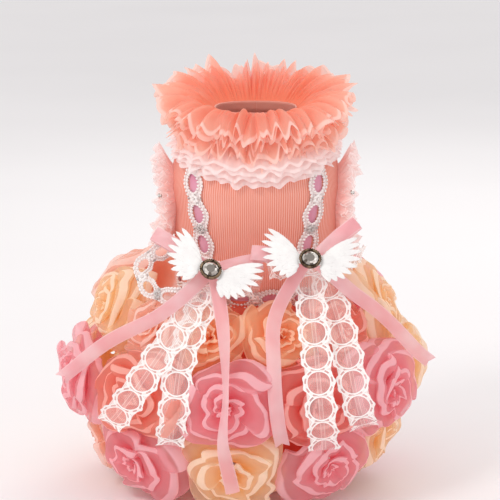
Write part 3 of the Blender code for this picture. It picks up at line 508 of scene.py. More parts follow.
# %% Rosettes
ROW_TILT = {"top": 24.0, "middle": 0.0, "bottom": -20.0}
ROSETTES = (
    ("top", -72, "cream"), ("top", -42, "peach"), ("top", -15, "apricot"), ("top", 17, "apricot"),
    ("top", 47, "salmon"), ("top", 80, "cream"), ("top", 128, "pink"), ("top", 180, "cream"),
    ("top", -124, "peach"), ("middle", -78, "pink"), ("middle", -38, "salmon"), ("middle", -4, "pink"),
    ("middle", 25, "coral"), ("middle", 59, "pink"), ("middle", 97, "cream"), ("middle", 143, "salmon"),
    ("middle", -167, "pink"), ("middle", -121, "cream"), ("bottom", -84, "peach"), ("bottom", -45, "pink"),
    ("bottom", -4, "cream"), ("bottom", 35, "pink"), ("bottom", 72, "cream"), ("bottom", 112, "pink"),
    ("bottom", 156, "peach"), ("bottom", -158, "cream"), ("bottom", -120, "coral"),
)
WINDS = 4.7
ALONG, ACROSS = 380, 17


def node_tree_of(name):
    """A search tree of a node of the model."""
    mesh = nodes[name].data
    corners = [v.co.copy() for v in mesh.vertices]
    return BVHTree.FromPolygons(corners, [tuple(f.vertices) for f in mesh.polygons])


def reach_table(tree, middle, axes, polar, around):
    """How far a closed form reaches from its middle, for angles from its facing and angles about it."""
    facing, beside, upward = axes
    table = np.zeros((len(polar), len(around)))
    for i, p in enumerate(polar):
        for j, a in enumerate(around):
            way = facing * cos(p) + (beside * cos(a) + upward * sin(a)) * sin(p)
            hit = tree.ray_cast(Vector(middle), Vector(way))
            table[i, j] = hit[3] if hit[3] is not None else 0.02
    return table


def sample(table, polar, around, p, a):
    """Values between the entries of the table, straight between neighbours."""
    i = np.clip(p / (polar[1] - polar[0]), 0, len(polar) - 1.001)
    j = (a % (2 * pi)) / (around[1] - around[0])
    i0, j0 = i.astype(int), j.astype(int)
    fi, fj = i - i0, j - j0
    n = len(around)
    before = table[i0, j0 % n] * (1 - fj) + table[i0, (j0 + 1) % n] * fj
    after = table[i0 + 1, j0 % n] * (1 - fj) + table[i0 + 1, (j0 + 1) % n] * fj
    return before * (1 - fi) + after * fi


def rosette(number, row, turn, tint):
    """One wound band of organza, folded double.

    s winds from the heart outwards, and t goes from one gathered side (-1) over the fold (0) to the other
    (1). The fold lies at an angle from the facing that grows with s, and reaches the model's form there.
    The two sides bulge apart between the fold and the gathers. Waves are sines of the winding angle.
    """
    name = f"rosette_{number:02d}"
    low, high = (np.array(c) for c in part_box(name))
    middle = (low + high) / 2
    turn, tilt = radians(turn), radians(ROW_TILT[row])
    facing = np.array((cos(tilt) * sin(turn), -cos(tilt) * cos(turn), sin(tilt)))
    beside = np.array((cos(turn), sin(turn), 0.0))
    upward = np.cross(beside, facing)
    upward *= np.sign(upward[2])
    polar, around = np.linspace(0, radians(150), 16), np.arange(24) / 24 * 2 * pi
    table = reach_table(node_tree_of(name), middle, (facing, beside, upward), polar, around)
    start = np.random.default_rng(number).uniform(0, 2 * pi)
    hand = 1 if number % 2 else -1
    s = np.linspace(0.0, 1, ALONG)[None]
    t = np.linspace(-1, 1, ACROSS)[:, None]
    rise = 1 - np.abs(t) ** 2.4
    wind = 2 * pi * WINDS * s**0.88
    large = waves(wind, (1.7, 2.9, 4.6), (0.40, 0.42, 0.30), number + 50)
    small = waves(wind, (7.9, 12.3), (0.6, 0.4), number + 90)
    other = waves(wind, (2.3, 3.7, 6.1), (0.4, 0.4, 0.3), number + 70)
    out = radians(4) + radians(98) * s**0.92
    bulge = (0.08 + 0.10 * s) * np.sin(pi * t) * (1 + 0.4 * other)
    p = out * (0.70 + 0.30 * rise) + bulge + rise * (0.26 * large * (0.35 + 0.65 * s) + 0.045 * small)
    p = np.clip(p, 0.02, radians(142))
    a = start + hand * (wind + 0.34 * rise * other)
    full = sample(table, polar, around, p, a)
    depth = 0.30 + 0.72 * rise**0.7 + rise * (0.09 * other + 0.022 * small) - 0.20 * rise * (1 - s) ** 2.5
    r = full * np.clip(depth, 0.1, 1.1) * (1 + 0.20 * np.sin(p) ** 4 * s)
    ring = np.cos(a)[..., None] * beside + np.sin(a)[..., None] * upward
    points = middle + (np.cos(p)[..., None] * facing + np.sin(p)[..., None] * ring) * r[..., None]
    piece = grid_mesh(name + "_organza", points, SHEER[tint], edge=np.broadcast_to(rise, r.shape))
    return cloth(piece, name, 0.045)


rosettes = [rosette(k + 1, *row) for k, row in enumerate(ROSETTES)]
print("rosettes:", len(rosettes), "faces in each:", len(rosettes[0].data.polygons))

# %% [markdown]
# ## Ruff
#
# The ruff is two gathered rings of tulle that stand out from the neck seam. Across the ring the cloth
# rises over a crest and falls to the rim. Round it many uneven pleats grow towards the rim, and
# each ring has four layers whose pleats don't match, which is what makes real tulle look full.

# %% Ruff
RUFF = (0.0690, 0.0640)
RUFF_RISE, RUFF_TILT = 0.006, 0.014


def ruff(name, node, seam, crest, rim_rise, size, layers, seed):
    """A pleated ring: height and reach are sines of the turn whose size grows from the seam to the rim."""
    stack, edges = [], []
    turn, t = np.meshgrid(np.linspace(0, 2 * pi, 721)[:-1], np.linspace(0, 1, 16))
    for k in range(layers):
        bend = turn + 0.05 * t**2 * waves(turn, (9, 14), (0.6, 0.6), seed + 60 + k)
        pleat = waves(bend, (46, 61, 33, 23), (0.40, 0.30, 0.34, 0.30), seed + k)
        other = waves(bend, (52, 38, 27), (0.5, 0.4, 0.4), seed + 20 + k)
        full = section_radius(turn, RUFF[0] * size, RUFF[1] * size) * (1 - 0.07 * k)
        begin = section_radius(turn, *body_sizes(-seam + 0 * turn)) + 1.2 * MM
        front = np.clip(np.cos(turn), 0, 1) ** 2
        r = begin + (full - begin) * t**0.9 + 0.0046 * t * other
        rim = rim_rise - RUFF_TILT * np.cos(turn) - 0.004 * k
        z = -seam + (rim + seam) * t + crest * np.sin(pi * t) + 0.0062 * t**0.8 * pleat
        z = z - 0.006 * front * t**4 + 0.003 * t**2 * waves(turn, (7, 11), (0.6, 0.5), seed + 40)
        stack.append(np.stack((r * np.sin(turn), -r * np.cos(turn), z), -1))
        edges.append(t)
    piece = grid_mesh(name, np.array(stack), RUFF_TULLE, edge=np.array(edges), closed=True)
    return cloth(piece, node, 0.05 * layers)


ruff("ruff_upper", "collar_ruff_upper", 0.0025, 0.006, RUFF_RISE + 0.002, 1.0, 4, 1)
ruff("ruff_lower", "collar_ruff_lower", 0.0085, 0.003, RUFF_RISE - 0.013, 0.93, 4, 7)
print("ruff rings: 2")

# %% [markdown]
# ## White frills
#
# Under the ruff hangs a white frill, and smaller ones stand round the leg holes. They are cut
# from softer tulle, so their folds are wider, and towards their gathers a pink painted shade shows.


# %% White frills
def yoke_frill():
    """A ring that hangs from the yoke: it leaves the body as it falls, with folds that grow to the hem."""
    stack, edges = [], []
    turn, t = np.meshgrid(np.linspace(0, 2 * pi, 721)[:-1], np.linspace(0, 1, 14))
    side = np.abs(np.sin(turn)) ** 2
    for k in range(4):
        fold = waves(turn, (31, 44, 19, 57), (0.4, 0.3, 0.3, 0.2), 100 + k)
        sway = waves(turn, (24, 35, 13), (0.4, 0.4, 0.3), 120 + k)
        top = 0.016 - 0.004 * side + 0.0015 * k
        z = -top - 0.021 * t * (1 - 0.42 * side) * (0.92 + 0.14 * k) + 0.0022 * t * sway
        off = (1.2 + 0.5 * (2 - k)) * MM + (0.011 - 0.0022 * k) * t**1.2 + 0.0026 * t * fold
        stack.append(body_point(turn, z, off))
        edges.append(t)
    piece = grid_mesh("yoke_tulle", np.array(stack), WHITE_TULLE, edge=np.array(edges), closed=True)
    return cloth(piece, "yoke_frill", 0.06)


def sleeve_frill(name, side):
    """A ring round a leg hole that spreads and stands out, with folds that grow to the hem."""
    stack, edges = [], []
    turn, t = np.meshgrid(np.linspace(0, 2 * pi, 481)[:-1], np.linspace(0, 1, 14))
    for k in range(4):
        fold = waves(turn, (17, 25, 11, 37), (0.4, 0.4, 0.4, 0.3), 140 + k + side)
        spread = 1.2 * MM + 0.0125 * t * (1 - 0.22 * k) + 0.0042 * t * fold
        y = LEG_HOLE[2] + (LEG_HOLE[0] + spread) * np.cos(turn)
        z = LEG_HOLE[3] + (LEG_HOLE[1] + spread) * np.sin(turn)
        half_width, half_depth = body_sizes(z)
        inside = np.clip(1 - (np.abs(y) / half_depth) ** SQUARENESS, 0.05, 1)
        lift = waves(turn, (13, 21, 34), (0.4, 0.4, 0.2), 160 + k + side)
        x = half_width * inside ** (1 / SQUARENESS) + 1.2 * MM + 0.0180 * t * (1 - 0.16 * k) + 0.0030 * t * lift
        stack.append(np.stack((side * x, y, z), -1))
        edges.append(t)
    piece = grid_mesh(name + "_tulle", np.array(stack), WHITE_TULLE, edge=np.array(edges), closed=True)
    return cloth(piece, name, 0.05)


yoke_frill()
sleeves = [sleeve_frill("sleeve_frill_left", -1), sleeve_frill("sleeve_frill_right", 1)]
print("white frills:", 3)

# %% [markdown]
# ## Lace
#
# A lace tail is a flat strip whose threads are drawn by its flat layout: the first number runs along it in
# repeats and the second across it from -1 to 1. The open places are see-through, the net
# is half so, and the outlines of the windows and of the scalloped edge are solid thread.


# %% Lace
def near(value, target, half):
    """1 where a value is within half of a target, softened at both sides."""
    return 1 - (value - target).math("ABSOLUTE").rise(half * 0.6, half * 1.2)


def lace_cloth(name, cell_length):
    """White lace: in each repeat a ring of thread round an open window, a band of small holes, and loops. It
    has a faint painted glow of its own.

    cell_length is the length of a repeat in half widths, so that the rings are round.
    """
    made, shader, start = new_material(name, 0.75, Sheen_Weight=0.2)
    along, across = start.layout()
    cell = (along.math("FRACT") - 0.5) * cell_length
    ring = (cell**2 + across**2).math("SQRT")
    angle = across.math("ARCTAN2", cell)
    loops = (angle * 9).math("SINE") * 0.5 + 0.5
    holes = (angle * 9 + ring * 2).math("SINE").rise(-0.2, 0.3)
    rim = near(ring, 0.70, 0.05)
    hem = near(ring, 0.88, 0.045)
    picot = ring.rise(0.88, 0.90) * (1 - (ring - loops * 0.10).rise(0.89, 0.91)) * 0.9
    band = ring.rise(0.72, 0.74) * (1 - ring.rise(0.87, 0.89))
    window = 1 - ring.rise(0.62, 0.66)
    joint = (1 - across.math("ABSOLUTE").rise(0.74, 0.80)) * ring.rise(0.86, 0.90)
    mesh = (along.sine(22) * across.sine(5)).math("ABSOLUTE").rise(0.05, 0.4)
    stripes = near(across.math("ABSOLUTE"), 0.10, 0.035).math("MAXIMUM", near(across, 0.0, 0.02) * 0.7)
    solid = rim.math("MAXIMUM", hem).math("MAXIMUM", picot)
    net = (band * (0.35 + 0.6 * holes)).math("MAXIMUM", joint * (0.55 + 0.4 * mesh))
    inside = window * (0.20 + 0.10 * mesh).math("MAXIMUM", stripes * 0.5)
    cover = solid.math("MAXIMUM", net).math("MAXIMUM", inside)
    feed(shader, cover.math("MINIMUM", 0.97), "Alpha")
    feed(shader, solid.blend(colour(255, 244, 240), colour(255, 254, 252)), "Base Color")
    # Painted glow: the lace gives off a faint light of its own.
    shader.inputs["Emission Color"].default_value = colour(255, 248, 245)
    shader.inputs["Emission Strength"].default_value = 0.05
    bump(shader, solid, 0.4, 0.0005)
    return made


TAIL_HALF, TAIL_PITCH = 0.0118, 0.0180
LOOP_HALF, LOOP_PITCH = 0.0088, 0.0130
TAIL_LACE = lace_cloth("window_lace", TAIL_PITCH / TAIL_HALF)
LOOP_LACE = lace_cloth("loop_lace", LOOP_PITCH / LOOP_HALF)

BOWS = {
    "left": (-0.596 * WAIST[0], 0.781 * BODICE_LENGTH, -25.0),
    "right": (0.721 * WAIST[0], 0.727 * BODICE_LENGTH, -6.0),
}
BOW_LEAN = radians(26.0)
LACE_TAILS = {
    "lace_tail_left_inner": ("left", ((2, -1), (-8, 28), (-20, 57), (-25, 89), (-28, 120))),
    "lace_tail_left_outer": ("left", ((-3, 1), (-17, 30), (-41, 63), (-60, 91), (-71, 107))),
    "lace_tail_right_outer": ("right", ((6, 1), (15, 29), (24, 57), (31, 89), (39, 121))),
    "lace_tail_right_inner": ("right", ((1, 0), (1, 31), (4, 61), (7, 95), (10, 131))),
}


def smooth_line(points, count):
    """Even steps along the curve whose cubic pieces pass through the given points."""
    points = np.asarray(points, float)
    fine = np.linspace(0, len(points) - 1, 24 * len(points))
    padded = np.vstack((2 * points[0] - points[1], points, 2 * points[-1] - points[-2]))
    k = np.minimum(fine.astype(int), len(points) - 2)
    t = (fine - k)[:, None]
    a, b, c, d = (padded[k + j] for j in range(4))
    curve = 0.5 * (2 * b + (c - a) * t + (2 * a - 5 * b + 4 * c - d) * t**2 + (3 * b - a - 3 * c + d) * t**3)
    length = np.concatenate(([0], np.cumsum(np.linalg.norm(np.diff(curve, axis=0), axis=1))))
    even = np.linspace(0, length[-1], count)
    return np.stack([np.interp(even, length, curve[:, j]) for j in range(points.shape[1])], 1)


def strip_frame(node, bow, line, half_width, count=60):
    """The middle line, across and facing directions of a strip of the model.

    Its line is known as seen from the front, and a ray from the front at each step finds its depth.
    """
    across0, drop0, _ = BOWS[bow]
    flat = smooth_line(np.asarray(line, float) * MM, count)
    x, z = across0 + flat[:, 0], -drop0 - flat[:, 1]
    tangent = np.gradient(np.stack((x, z), 1), axis=0)
    tangent /= np.linalg.norm(tangent, axis=1, keepdims=True)
    side = np.stack((-tangent[:, 1], 0 * x, tangent[:, 0]), 1)
    tree = node_tree_of(node)
    depth = np.full(count, np.nan)
    for k in range(count):
        for at in (0.0, 0.9 * half_width, -0.9 * half_width):
            start = Vector((x[k] + side[k, 0] * at, -1.0, z[k] + side[k, 2] * at))
            hit = tree.ray_cast(start, Vector((0, 1, 0)))[0]
            if hit is not None:
                depth[k] = hit.y
                break
    known = ~np.isnan(depth)
    depth = np.interp(np.arange(count), np.flatnonzero(known), depth[known])
    smooth = np.convolve(np.pad(depth, 2, mode="edge"), np.ones(5) / 5, "valid")
    middle = np.stack((x, smooth + 0.0004, z), 1)
    along = np.gradient(middle, axis=0)
    steps = np.concatenate(([0], np.cumsum(np.linalg.norm(np.diff(middle, axis=0), axis=1))))
    along /= np.linalg.norm(along, axis=1, keepdims=True)
    facing = np.cross(along, side)
    facing *= -np.sign(facing[:, 1:2])
    return middle, side, facing, steps


def lace_strip(name, bow, line, half_width, pitch, finish):
    """A strip of lace over its solid, with a slight wave in its edges."""
    middle, side, facing, steps = strip_frame(name, bow, line, half_width)
    w = np.linspace(-1, 1, 13)[None, :, None]
    ripple = 0.0011 * np.sin(steps / pitch * 2 * pi)[:, None, None] * np.abs(w)
    points = middle[:, None] + side[:, None] * w * half_width + facing[:, None] * (ripple + 0.0012 * w**2)
    flat = np.stack(np.broadcast_arrays(steps[:, None] / pitch, w[..., 0]), -1)
    piece = grid_mesh(name + "_cloth", points, finish, flat=flat)
    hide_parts(name)


for name, (bow, line) in LACE_TAILS.items():
    lace_strip(name, bow, line, TAIL_HALF, TAIL_PITCH, TAIL_LACE)
for name, (bow, line) in {
    "lace_loop_left": ("left", ((7, 10), (20, 15), (34, 19))),
    "lace_loop_middle": ("right", ((-7, 6), (-18, 10), (-29, 13))),
    "lace_loop_right": ("right", ((8, 4), (24, 7), (39, 11))),
}.items():
    lace_strip(name, bow, line, LOOP_HALF, LOOP_PITCH, LOOP_LACE)
print("lace strips: 7")

# %% [markdown]
# ## Ribbons
#
# Satin ribbon is glossy and has a corded edge, whose paler colour is a painted highlight. The tails are laid
# as the lace is, and three of them end in a notch. A tail may turn edge-on half way down.


# %% Ribbons
def satin(name, deep, pale, sheerness=1.0):
    """Glossy ribbon: a soft cloudy tone and a corded edge painted paler as a highlight."""
    made, shader, start = new_material(name, 0.34, Sheen_Weight=0.3)
    along, across = start.layout()
    # Painted highlight: the corded edge is a bump, and its paler colour is painted light.
    cord = across.math("ABSOLUTE").rise(0.84, 0.9)
    tone = start.noise(35.0).rise(0.3, 0.75).math("MAXIMUM", cord * 0.9)
    feed(shader, tone.blend(colour(*deep), colour(*pale)), "Base Color")
    bump(shader, along.sine(1600) * 0.5 + cord, 0.15, 0.0003)
    shader.inputs["Alpha"].default_value = sheerness
    let_light_through(made, shader, colour(*deep), 0.25)
    return made


PINK_SATIN = satin("pink_satin", (249, 184, 190), (254, 220, 222), 0.90)
ROSE_SATIN = satin("rose_ribbon", (244, 160, 190), (250, 192, 212))
SATIN_HALF = 0.0050
SATIN_TAILS = {
    "satin_tail_left_outer": ("left", ((-1, 4), (-38, 30), (-73, 53), (-107, 85)), 0.0, True),
    "satin_tail_left_inner": ("left", ((3, 6), (9, 40), (11, 77), (9, 115), (15, 153)), 62.0, False),
    "satin_tail_right_inner": ("right", ((-5, 6), (-24, 38), (-25, 72), (-23, 102), (-19, 127)), 0.0, True),
    "satin_tail_right_outer": ("right", ((6, 5), (28, 24), (54, 47), (88, 88)), 0.0, True),
}


def ribbon_tail(name, bow, line, twist, notched):
    """A ribbon along its line, turned about it by a twist that peaks half way, and bowed across."""
    middle, side, facing, steps = strip_frame(name, bow, line, SATIN_HALF)
    share = steps / steps[-1]
    turn = radians(twist) * np.sin(pi * share) ** 2 + 0.10 * np.sin(share * 9 + len(name))
    turn = turn[:, None]
    across = side * np.cos(turn) + facing * np.sin(turn)
    face = facing * np.cos(turn) - side * np.sin(turn)
    w = np.linspace(-1, 1, 9)[None, :, None]
    crown = 0.0008 * (1 - w**2) + 0.0006
    points = middle[:, None] + across[:, None] * w * SATIN_HALF + face[:, None] * crown
    if notched:
        back = (middle[-6] - middle[-1]) / np.linalg.norm(middle[-6] - middle[-1])
        depth = (1 - np.abs(w[0])) * SATIN_HALF * np.linspace(0, 1, 8)[:, None, None] ** 2
        points[-8:] += back * depth
    flat = np.stack(np.broadcast_arrays(steps[:, None], w[..., 0]), -1)
    piece = grid_mesh(name + "_ribbon", points, PINK_SATIN, flat=flat)
    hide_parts(name)


for name, row in SATIN_TAILS.items():
    ribbon_tail(name, *row)
print("satin tails:", len(SATIN_TAILS))

# %% [markdown]
# ## Beading
#
# Down each side of the front runs a lace band with a ribbon drawn through it. Each repeat has an oval
# window with a beaded rim and a small flower. Rims and flowers stand up from the band, so they are
# modelled: small beads and petals of a few faces, copied by one array of places.

# %% Beading
STRAP_TURNS = np.array(((0.0, 49.0), (0.5, 42.0), (1.0, 38.5)))
STRAP_TOP, STRAP_PITCH, STRAP_REPEATS = 0.0370, 0.0215, 3
BEADING_HALF = 0.0075


def thread_white():
    """Matte white cotton thread with a fine twist."""
    made, shader, start = new_material("white_thread", 0.7, Sheen_Weight=0.3)
    twist = start.noise(1800.0)
    feed(shader, twist.rise(0.3, 0.7).blend(colour(250, 238, 235), colour(255, 252, 250)), "Base Color")
    bump(shader, twist, 0.5, 0.0004)
    return made


THREAD = thread_white()


def ball_grid(rows=5, columns=8):
    """Unit ball as a grid: latitude by longitude."""
    v, u = np.meshgrid(np.linspace(0, pi, rows), np.linspace(0, 2 * pi, columns + 1), indexing="ij")
    return np.stack((np.sin(v) * np.cos(u), np.sin(v) * np.sin(u), np.cos(v)), -1)


def beads_at(places, sizes):
    """Copies of the unit ball at places (along, across, height) with sizes of the same kind."""
    unit = ball_grid()
    return np.asarray(places)[:, None, None] + unit[None] * np.asarray(sizes)[:, None, None]


def beading_marks(length, pitch, half):
    """Where the beads and petals of each repeat lie: a beaded oval and a six-petalled flower."""
    places, sizes = [], []
    repeats = max(int(round(length / pitch)), 1)
    for k in range(repeats):
        middle = (k + 0.5) * length / repeats
        oval = np.arange(18) / 18 * 2 * pi
        along = middle + 0.33 * pitch * np.cos(oval)
        across = 0.62 * half * np.sin(oval)
        places.append(np.stack((along, across, 0.0006 + 0 * oval), 1))
        sizes.append(np.full((18, 3), 0.00095))
        petal = np.arange(6) / 6 * 2 * pi
        flower = (k + 1) * length / repeats if k + 1 < repeats else k * length / repeats
        flower_along = flower + 0.0021 * np.cos(petal)
        flower_across = 0.0021 * np.sin(petal)
        places.append(np.stack((flower_along, flower_across, 0.0010 + 0 * petal), 1))
        sizes.append(np.full((6, 3), (0.00145, 0.00145, 0.0008)))
        places.append(np.array(((flower, 0.0, 0.0016),)))
        sizes.append(np.full((1, 3), 0.0008))
        edge = np.linspace(-0.5, 0.5, 10) * length / repeats
        for sign in (-1, 1):
            reach = sign * half * (0.82 + 0.18 * np.cos(edge / (length / repeats) * 2 * pi))
            places.append(np.stack((middle + edge, reach, 0.0004 + 0 * edge), 1))
            sizes.append(np.full((10, 3), (0.0011, 0.0008, 0.0006)))
    return np.concatenate(places), np.concatenate(sizes)


def beading_cloth():
    """The net of the beading band: threads with an oval opening in each repeat."""
    made, shader, start = new_material("beading_net", 0.75)
    along, across = start.layout()
    cell = along.math("FRACT") - 0.5
    oval = ((cell / 0.33) ** 2 + (across / 0.62) ** 2).math("SQRT")
    scallop = 0.80 + 0.20 * (cell * 2 * pi).math("COSINE")
    keep = oval.rise(0.92, 1.0) * (1 - (across.math("ABSOLUTE") - scallop).rise(0.0, 0.06))
    net = (along.sine(10) * across.sine(2.2)).math("ABSOLUTE").rise(0.1, 0.5) * 0.35 + 0.6
    feed(shader, keep * net, "Alpha")
    shader.inputs["Base Color"].default_value = colour(254, 246, 244)
    bump(shader, net, 0.4, 0.0004)
    return made


BEADING_NET = beading_cloth()


def beading(name, node, place, length, pitch, half):
    """The band, its beads and flowers, carried by a place function of (along, across, height)."""
    repeats = max(int(round(length / pitch)), 1)
    s, w = np.meshgrid(np.linspace(0, length, 24 * repeats), np.linspace(-1, 1, 5), indexing="ij")
    flat = np.stack((s / length * repeats, w), -1)
    net = grid_mesh(name + "_net", place(s, w * half, 0 * s), BEADING_NET, flat=flat)
    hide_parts(node)
    places, sizes = beading_marks(length, pitch, half)
    local = beads_at(places, sizes)
    marks = grid_mesh(name + "_flowers", place(local[..., 0], local[..., 1], local[..., 2]), THREAD)


def flat_ribbon(name, node, place, length, half, pitch):
    """The ribbon behind the beading, puffed a little in each window."""
    s, w = np.meshgrid(np.linspace(0, length, 80), np.linspace(-1, 1, 7), indexing="ij")
    puff = 0.0005 * (1 - w**2) * (1 - np.cos(s / pitch * 2 * pi)) / 2
    piece = grid_mesh(name, place(s, w * half, puff), ROSE_SATIN, flat=np.stack((s, w), -1))
    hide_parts(node)


def strap_place(side, base):
    """Places on the bodice beside the line of a strap."""
    length = STRAP_REPEATS * STRAP_PITCH

    def place(along, across, height):
        z = -STRAP_TOP - along
        turn = np.radians(np.interp(along / length, STRAP_TURNS[:, 0], STRAP_TURNS[:, 1]))
        turn = side * turn + across / section_radius(turn, *body_sizes(z))
        return body_point(turn, z, base + height)

    return place


RIBBON_HALF = 0.0042
for side, word in ((-1, "left"), (1, "right")):
    length = STRAP_REPEATS * STRAP_PITCH
    low, high = strap_place(side, 0.0012), strap_place(side, 0.0024)
    flat_ribbon("strap_satin_" + word, "strap_ribbon_" + word, low, length, RIBBON_HALF, STRAP_PITCH)
    beading("strap_" + word, "strap_lace_" + word, high, length, STRAP_PITCH, BEADING_HALF)


WAIST_GIRTH = pi * (WAIST[0] + WAIST[1])
WAIST_PITCH = WAIST_GIRTH / 14


def waist_place(base):
    """Places on the waist seam, off it by a distance."""

    def place(along, across, height):
        turn = along / WAIST_GIRTH * 2 * pi - pi
        return body_point(turn, across - BODICE_LENGTH + 0.0004, base + height)

    return place


flat_ribbon("waist_satin", "waist_ribbon", waist_place(0.0014), WAIST_GIRTH, RIBBON_HALF, WAIST_PITCH)
beading("waist", "waist_lace", waist_place(0.0030), WAIST_GIRTH, WAIST_PITCH, 0.0066)

LOOP_LINE = ((-15, 0), (-26, -8), (-40, -7), (-48, 2), (-44, 12), (-33, 17), (-20, 15))
middle, side, facing, steps = strip_frame("trim_loop_left", "left", LOOP_LINE, 0.0056)


def loop_place(along, across, height):
    """Places on the loose loop of beading at the left."""
    axes = (middle, side, facing)
    parts = [np.stack([np.interp(along, steps, a[:, j]) for j in range(3)], -1) for a in axes]
    return parts[0] + parts[1] * across[..., None] + parts[2] * (height + 0.0004)[..., None]


loop_length, loop_pitch = float(steps[-1]), STRAP_PITCH * 0.85
beading("trim_loop", "trim_loop_left", loop_place, loop_length, loop_pitch, 0.0062)
print("beading bands: 4")

# %% [markdown]
# ## Satin bows
#
# Each bow is a knot with two loops. A loop is a closed band: the way round it goes out along the front
# and comes back along the rear, and it is narrow at the knot. The bow leans back with the waist.

# %% Satin bows
KNOT = 0.0110
LOOP_DEPTH = 0.0070
SATIN_LOOPS = (("left", 148.0, 0.047), ("left", 8.0, 0.036), ("right", 38.0, 0.042), ("right", 174.0, 0.041))


def leaned(points, bow, forward):
    """Points in the plane of a bow, tipped about its level line and brought to its depth."""
    across0, drop0, _ = BOWS[bow]
    x, y, z = points[..., 0], points[..., 1], points[..., 2]
    y, z = y * cos(BOW_LEAN) + z * sin(BOW_LEAN), -y * sin(BOW_LEAN) + z * cos(BOW_LEAN)
    return np.stack((x + across0, y + forward, z - drop0), -1)


def depth_of(node, bow, rear):
    """How far forward a leaned node was brought: its rearmost plane is known before it was tipped."""
    drop0 = BOWS[bow][1]
    corners = np.array([tuple(v.co) for v in nodes[node].data.vertices])
    tipped = corners[:, 1] * cos(BOW_LEAN) - (corners[:, 2] + drop0) * sin(BOW_LEAN)
    return float((tipped.max() - rear) / cos(BOW_LEAN))


def squared(value):
    """A sine or cosine pressed towards -1 and 1, which turns a ball into a pillow."""
    return np.sign(value) * np.abs(value) ** 0.6


def satin_bow(bow):
    """A puffed knot and two loops as one mesh each."""
    node = "satin_bow_" + bow
    forward = depth_of(node, bow, 0.35 * KNOT)
    u, v = np.meshgrid(np.linspace(0, 2 * pi, 25), np.linspace(0, pi, 13), indexing="ij")
    ball = (np.cos(u), np.sin(v)), (np.sin(u), np.sin(v)), (np.cos(v), 1 + 0 * v)
    knot = np.stack([squared(first) * squared(second) for first, second in ball], -1)
    knot = knot * np.array((0.5, 0.35, 0.5)) * KNOT * (1 + 0.05 * np.sin(3 * v + 2 * u))[..., None]
    flat = np.stack((u * 0.003, v / pi * 2 - 1), -1)
    points = leaned(knot.transpose(1, 0, 2), bow, forward)
    piece = grid_mesh("bow_knot_" + bow, points, PINK_SATIN, flat=flat.transpose(1, 0, 2))
    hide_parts(node)
    for number, (owner, direction, length) in enumerate(SATIN_LOOPS):
        if owner != bow:
            continue
        out = np.array((cos(radians(direction)), 0, sin(radians(direction))))
        side = np.array((-out[2], 0, out[0]))
        t = np.linspace(0, 2 * pi, 73)[:, None]
        w = np.linspace(-1, 1, 9)[None]
        share = 0.5 - 0.5 * np.cos(t)
        crumple = 0.0006 * np.sin(5 * t + number) * np.sin(3 * w + number)
        deep = LOOP_DEPTH / 2 * np.sin(t) * (0.3 + 0.7 * share) + crumple + 0.0006 * w**2
        wide = SATIN_HALF * (0.50 + 0.55 * np.minimum(1.0, 1.6 * share))
        points = out * (length * share)[..., None] + side * (w * wide)[..., None]
        points[..., 1] += deep
        flat = np.stack(np.broadcast_arrays(t * length / pi, w), -1)
        loop = grid_mesh(f"bow_loop_{number}", leaned(points, bow, forward), PINK_SATIN, flat=flat)
        flat_size = (2 * SATIN_HALF, area_of(loop) / (2 * SATIN_HALF))


for bow in BOWS:
    satin_bow(bow)
print("satin bows:", len(BOWS))

# %% [markdown]
# ## Cast wings
#
# Each brooch has two white wings with feathers in three overlapping rows: long ones at the tip, shorter
# ones over their roots, and small scales near the stone. A feather is a leaf-shaped grid, high along its
# middle and thin at its edge. One function of the place along and across makes them all at once.

# %% Cast wings
WING_SPAN = 0.0340
WING_RELIEF = 0.0030
LONG = (
    (46, 1.00), (38, 0.99), (29, 0.95), (19, 0.89), (8, 0.81), (-4, 0.73), (-16, 0.64), (-29, 0.54), (-43, 0.45)
)
MIDDLE = ((42, 0.62), (32, 0.62), (21, 0.59), (9, 0.55), (-4, 0.50), (-18, 0.44), (-34, 0.37))
SHORT = ((36, 0.40), (22, 0.39), (7, 0.36), (-10, 0.32), (-28, 0.27))
FEATHER_ROWS = ((LONG, 0.16, 0.085, 0.42), (MIDDLE, 0.12, 0.085, 0.72), (SHORT, 0.08, 0.075, 1.0))


def white_cast():
    """Glossy white enamel, with painted shade in its grooves."""
    made, shader, start = new_material("white_enamel", 0.22, Coat_Weight=0.5, Coat_Roughness=0.1)
    cloud = start.noise(160.0, 3.0)
    # Painted shade: darker where the feathers' sides meet in grooves.
    groove_shade = start.node("ShaderNodeAttribute", out=2, attribute_name="edge")
    tone = cloud.rise(0.2, 0.8).blend(colour(246, 243, 242), colour(255, 254, 252))
    feed(shader, (groove_shade.rise(0.72, 1.0) * 0.55).blend(tone, colour(205, 196, 194)), "Base Color")
    bump(shader, cloud, 0.15, 0.0003)
    return made


def leaf_grid(direction, start, length, half, height, base):
    """A feather from a root: along it 0 to 1, round its section 0 to 1, closed at both ends."""
    t, u = np.meshgrid(np.linspace(0, 1, 17), np.linspace(0, 2 * pi, 17), indexing="ij")
    width = half * np.sqrt(np.clip(np.sin(pi * np.clip(t, 0, 1) ** 0.62), 0, 1))
    barb = 1 + 0.06 * np.sin(t * 44)
    reach = start + (length - start) * t
    off = width * np.cos(u) * barb
    up = height * np.sin(u) * np.where(np.sin(u) > 0, 1 - 0.55 * t, 0.25)
    up = up * np.sin(pi * np.clip(t, 0.02, 0.98)) ** 0.4
    up = up - 0.25 * height * (np.abs(np.cos(u)) < 0.22) * (np.sin(u) > 0)
    a = radians(direction) - 0.22 * t**2 * 0.5
    x = reach * np.cos(a) - off * np.sin(a)
    z = reach * np.sin(a) + off * np.cos(a)
    # The second value marks the feather's sides, where painted shade darkens the grooves between feathers.
    return np.stack((x, -(base + up), z), -1), np.abs(np.cos(u)) ** 3


def rolled(points, bow):
    """Points turned in the plane of a brooch by its roll."""
    roll = radians(BOWS[bow][2])
    x, y, z = points[..., 0], points[..., 1], points[..., 2]
    return np.stack((x * cos(roll) - z * sin(roll), y, x * sin(roll) + z * cos(roll)), -1)


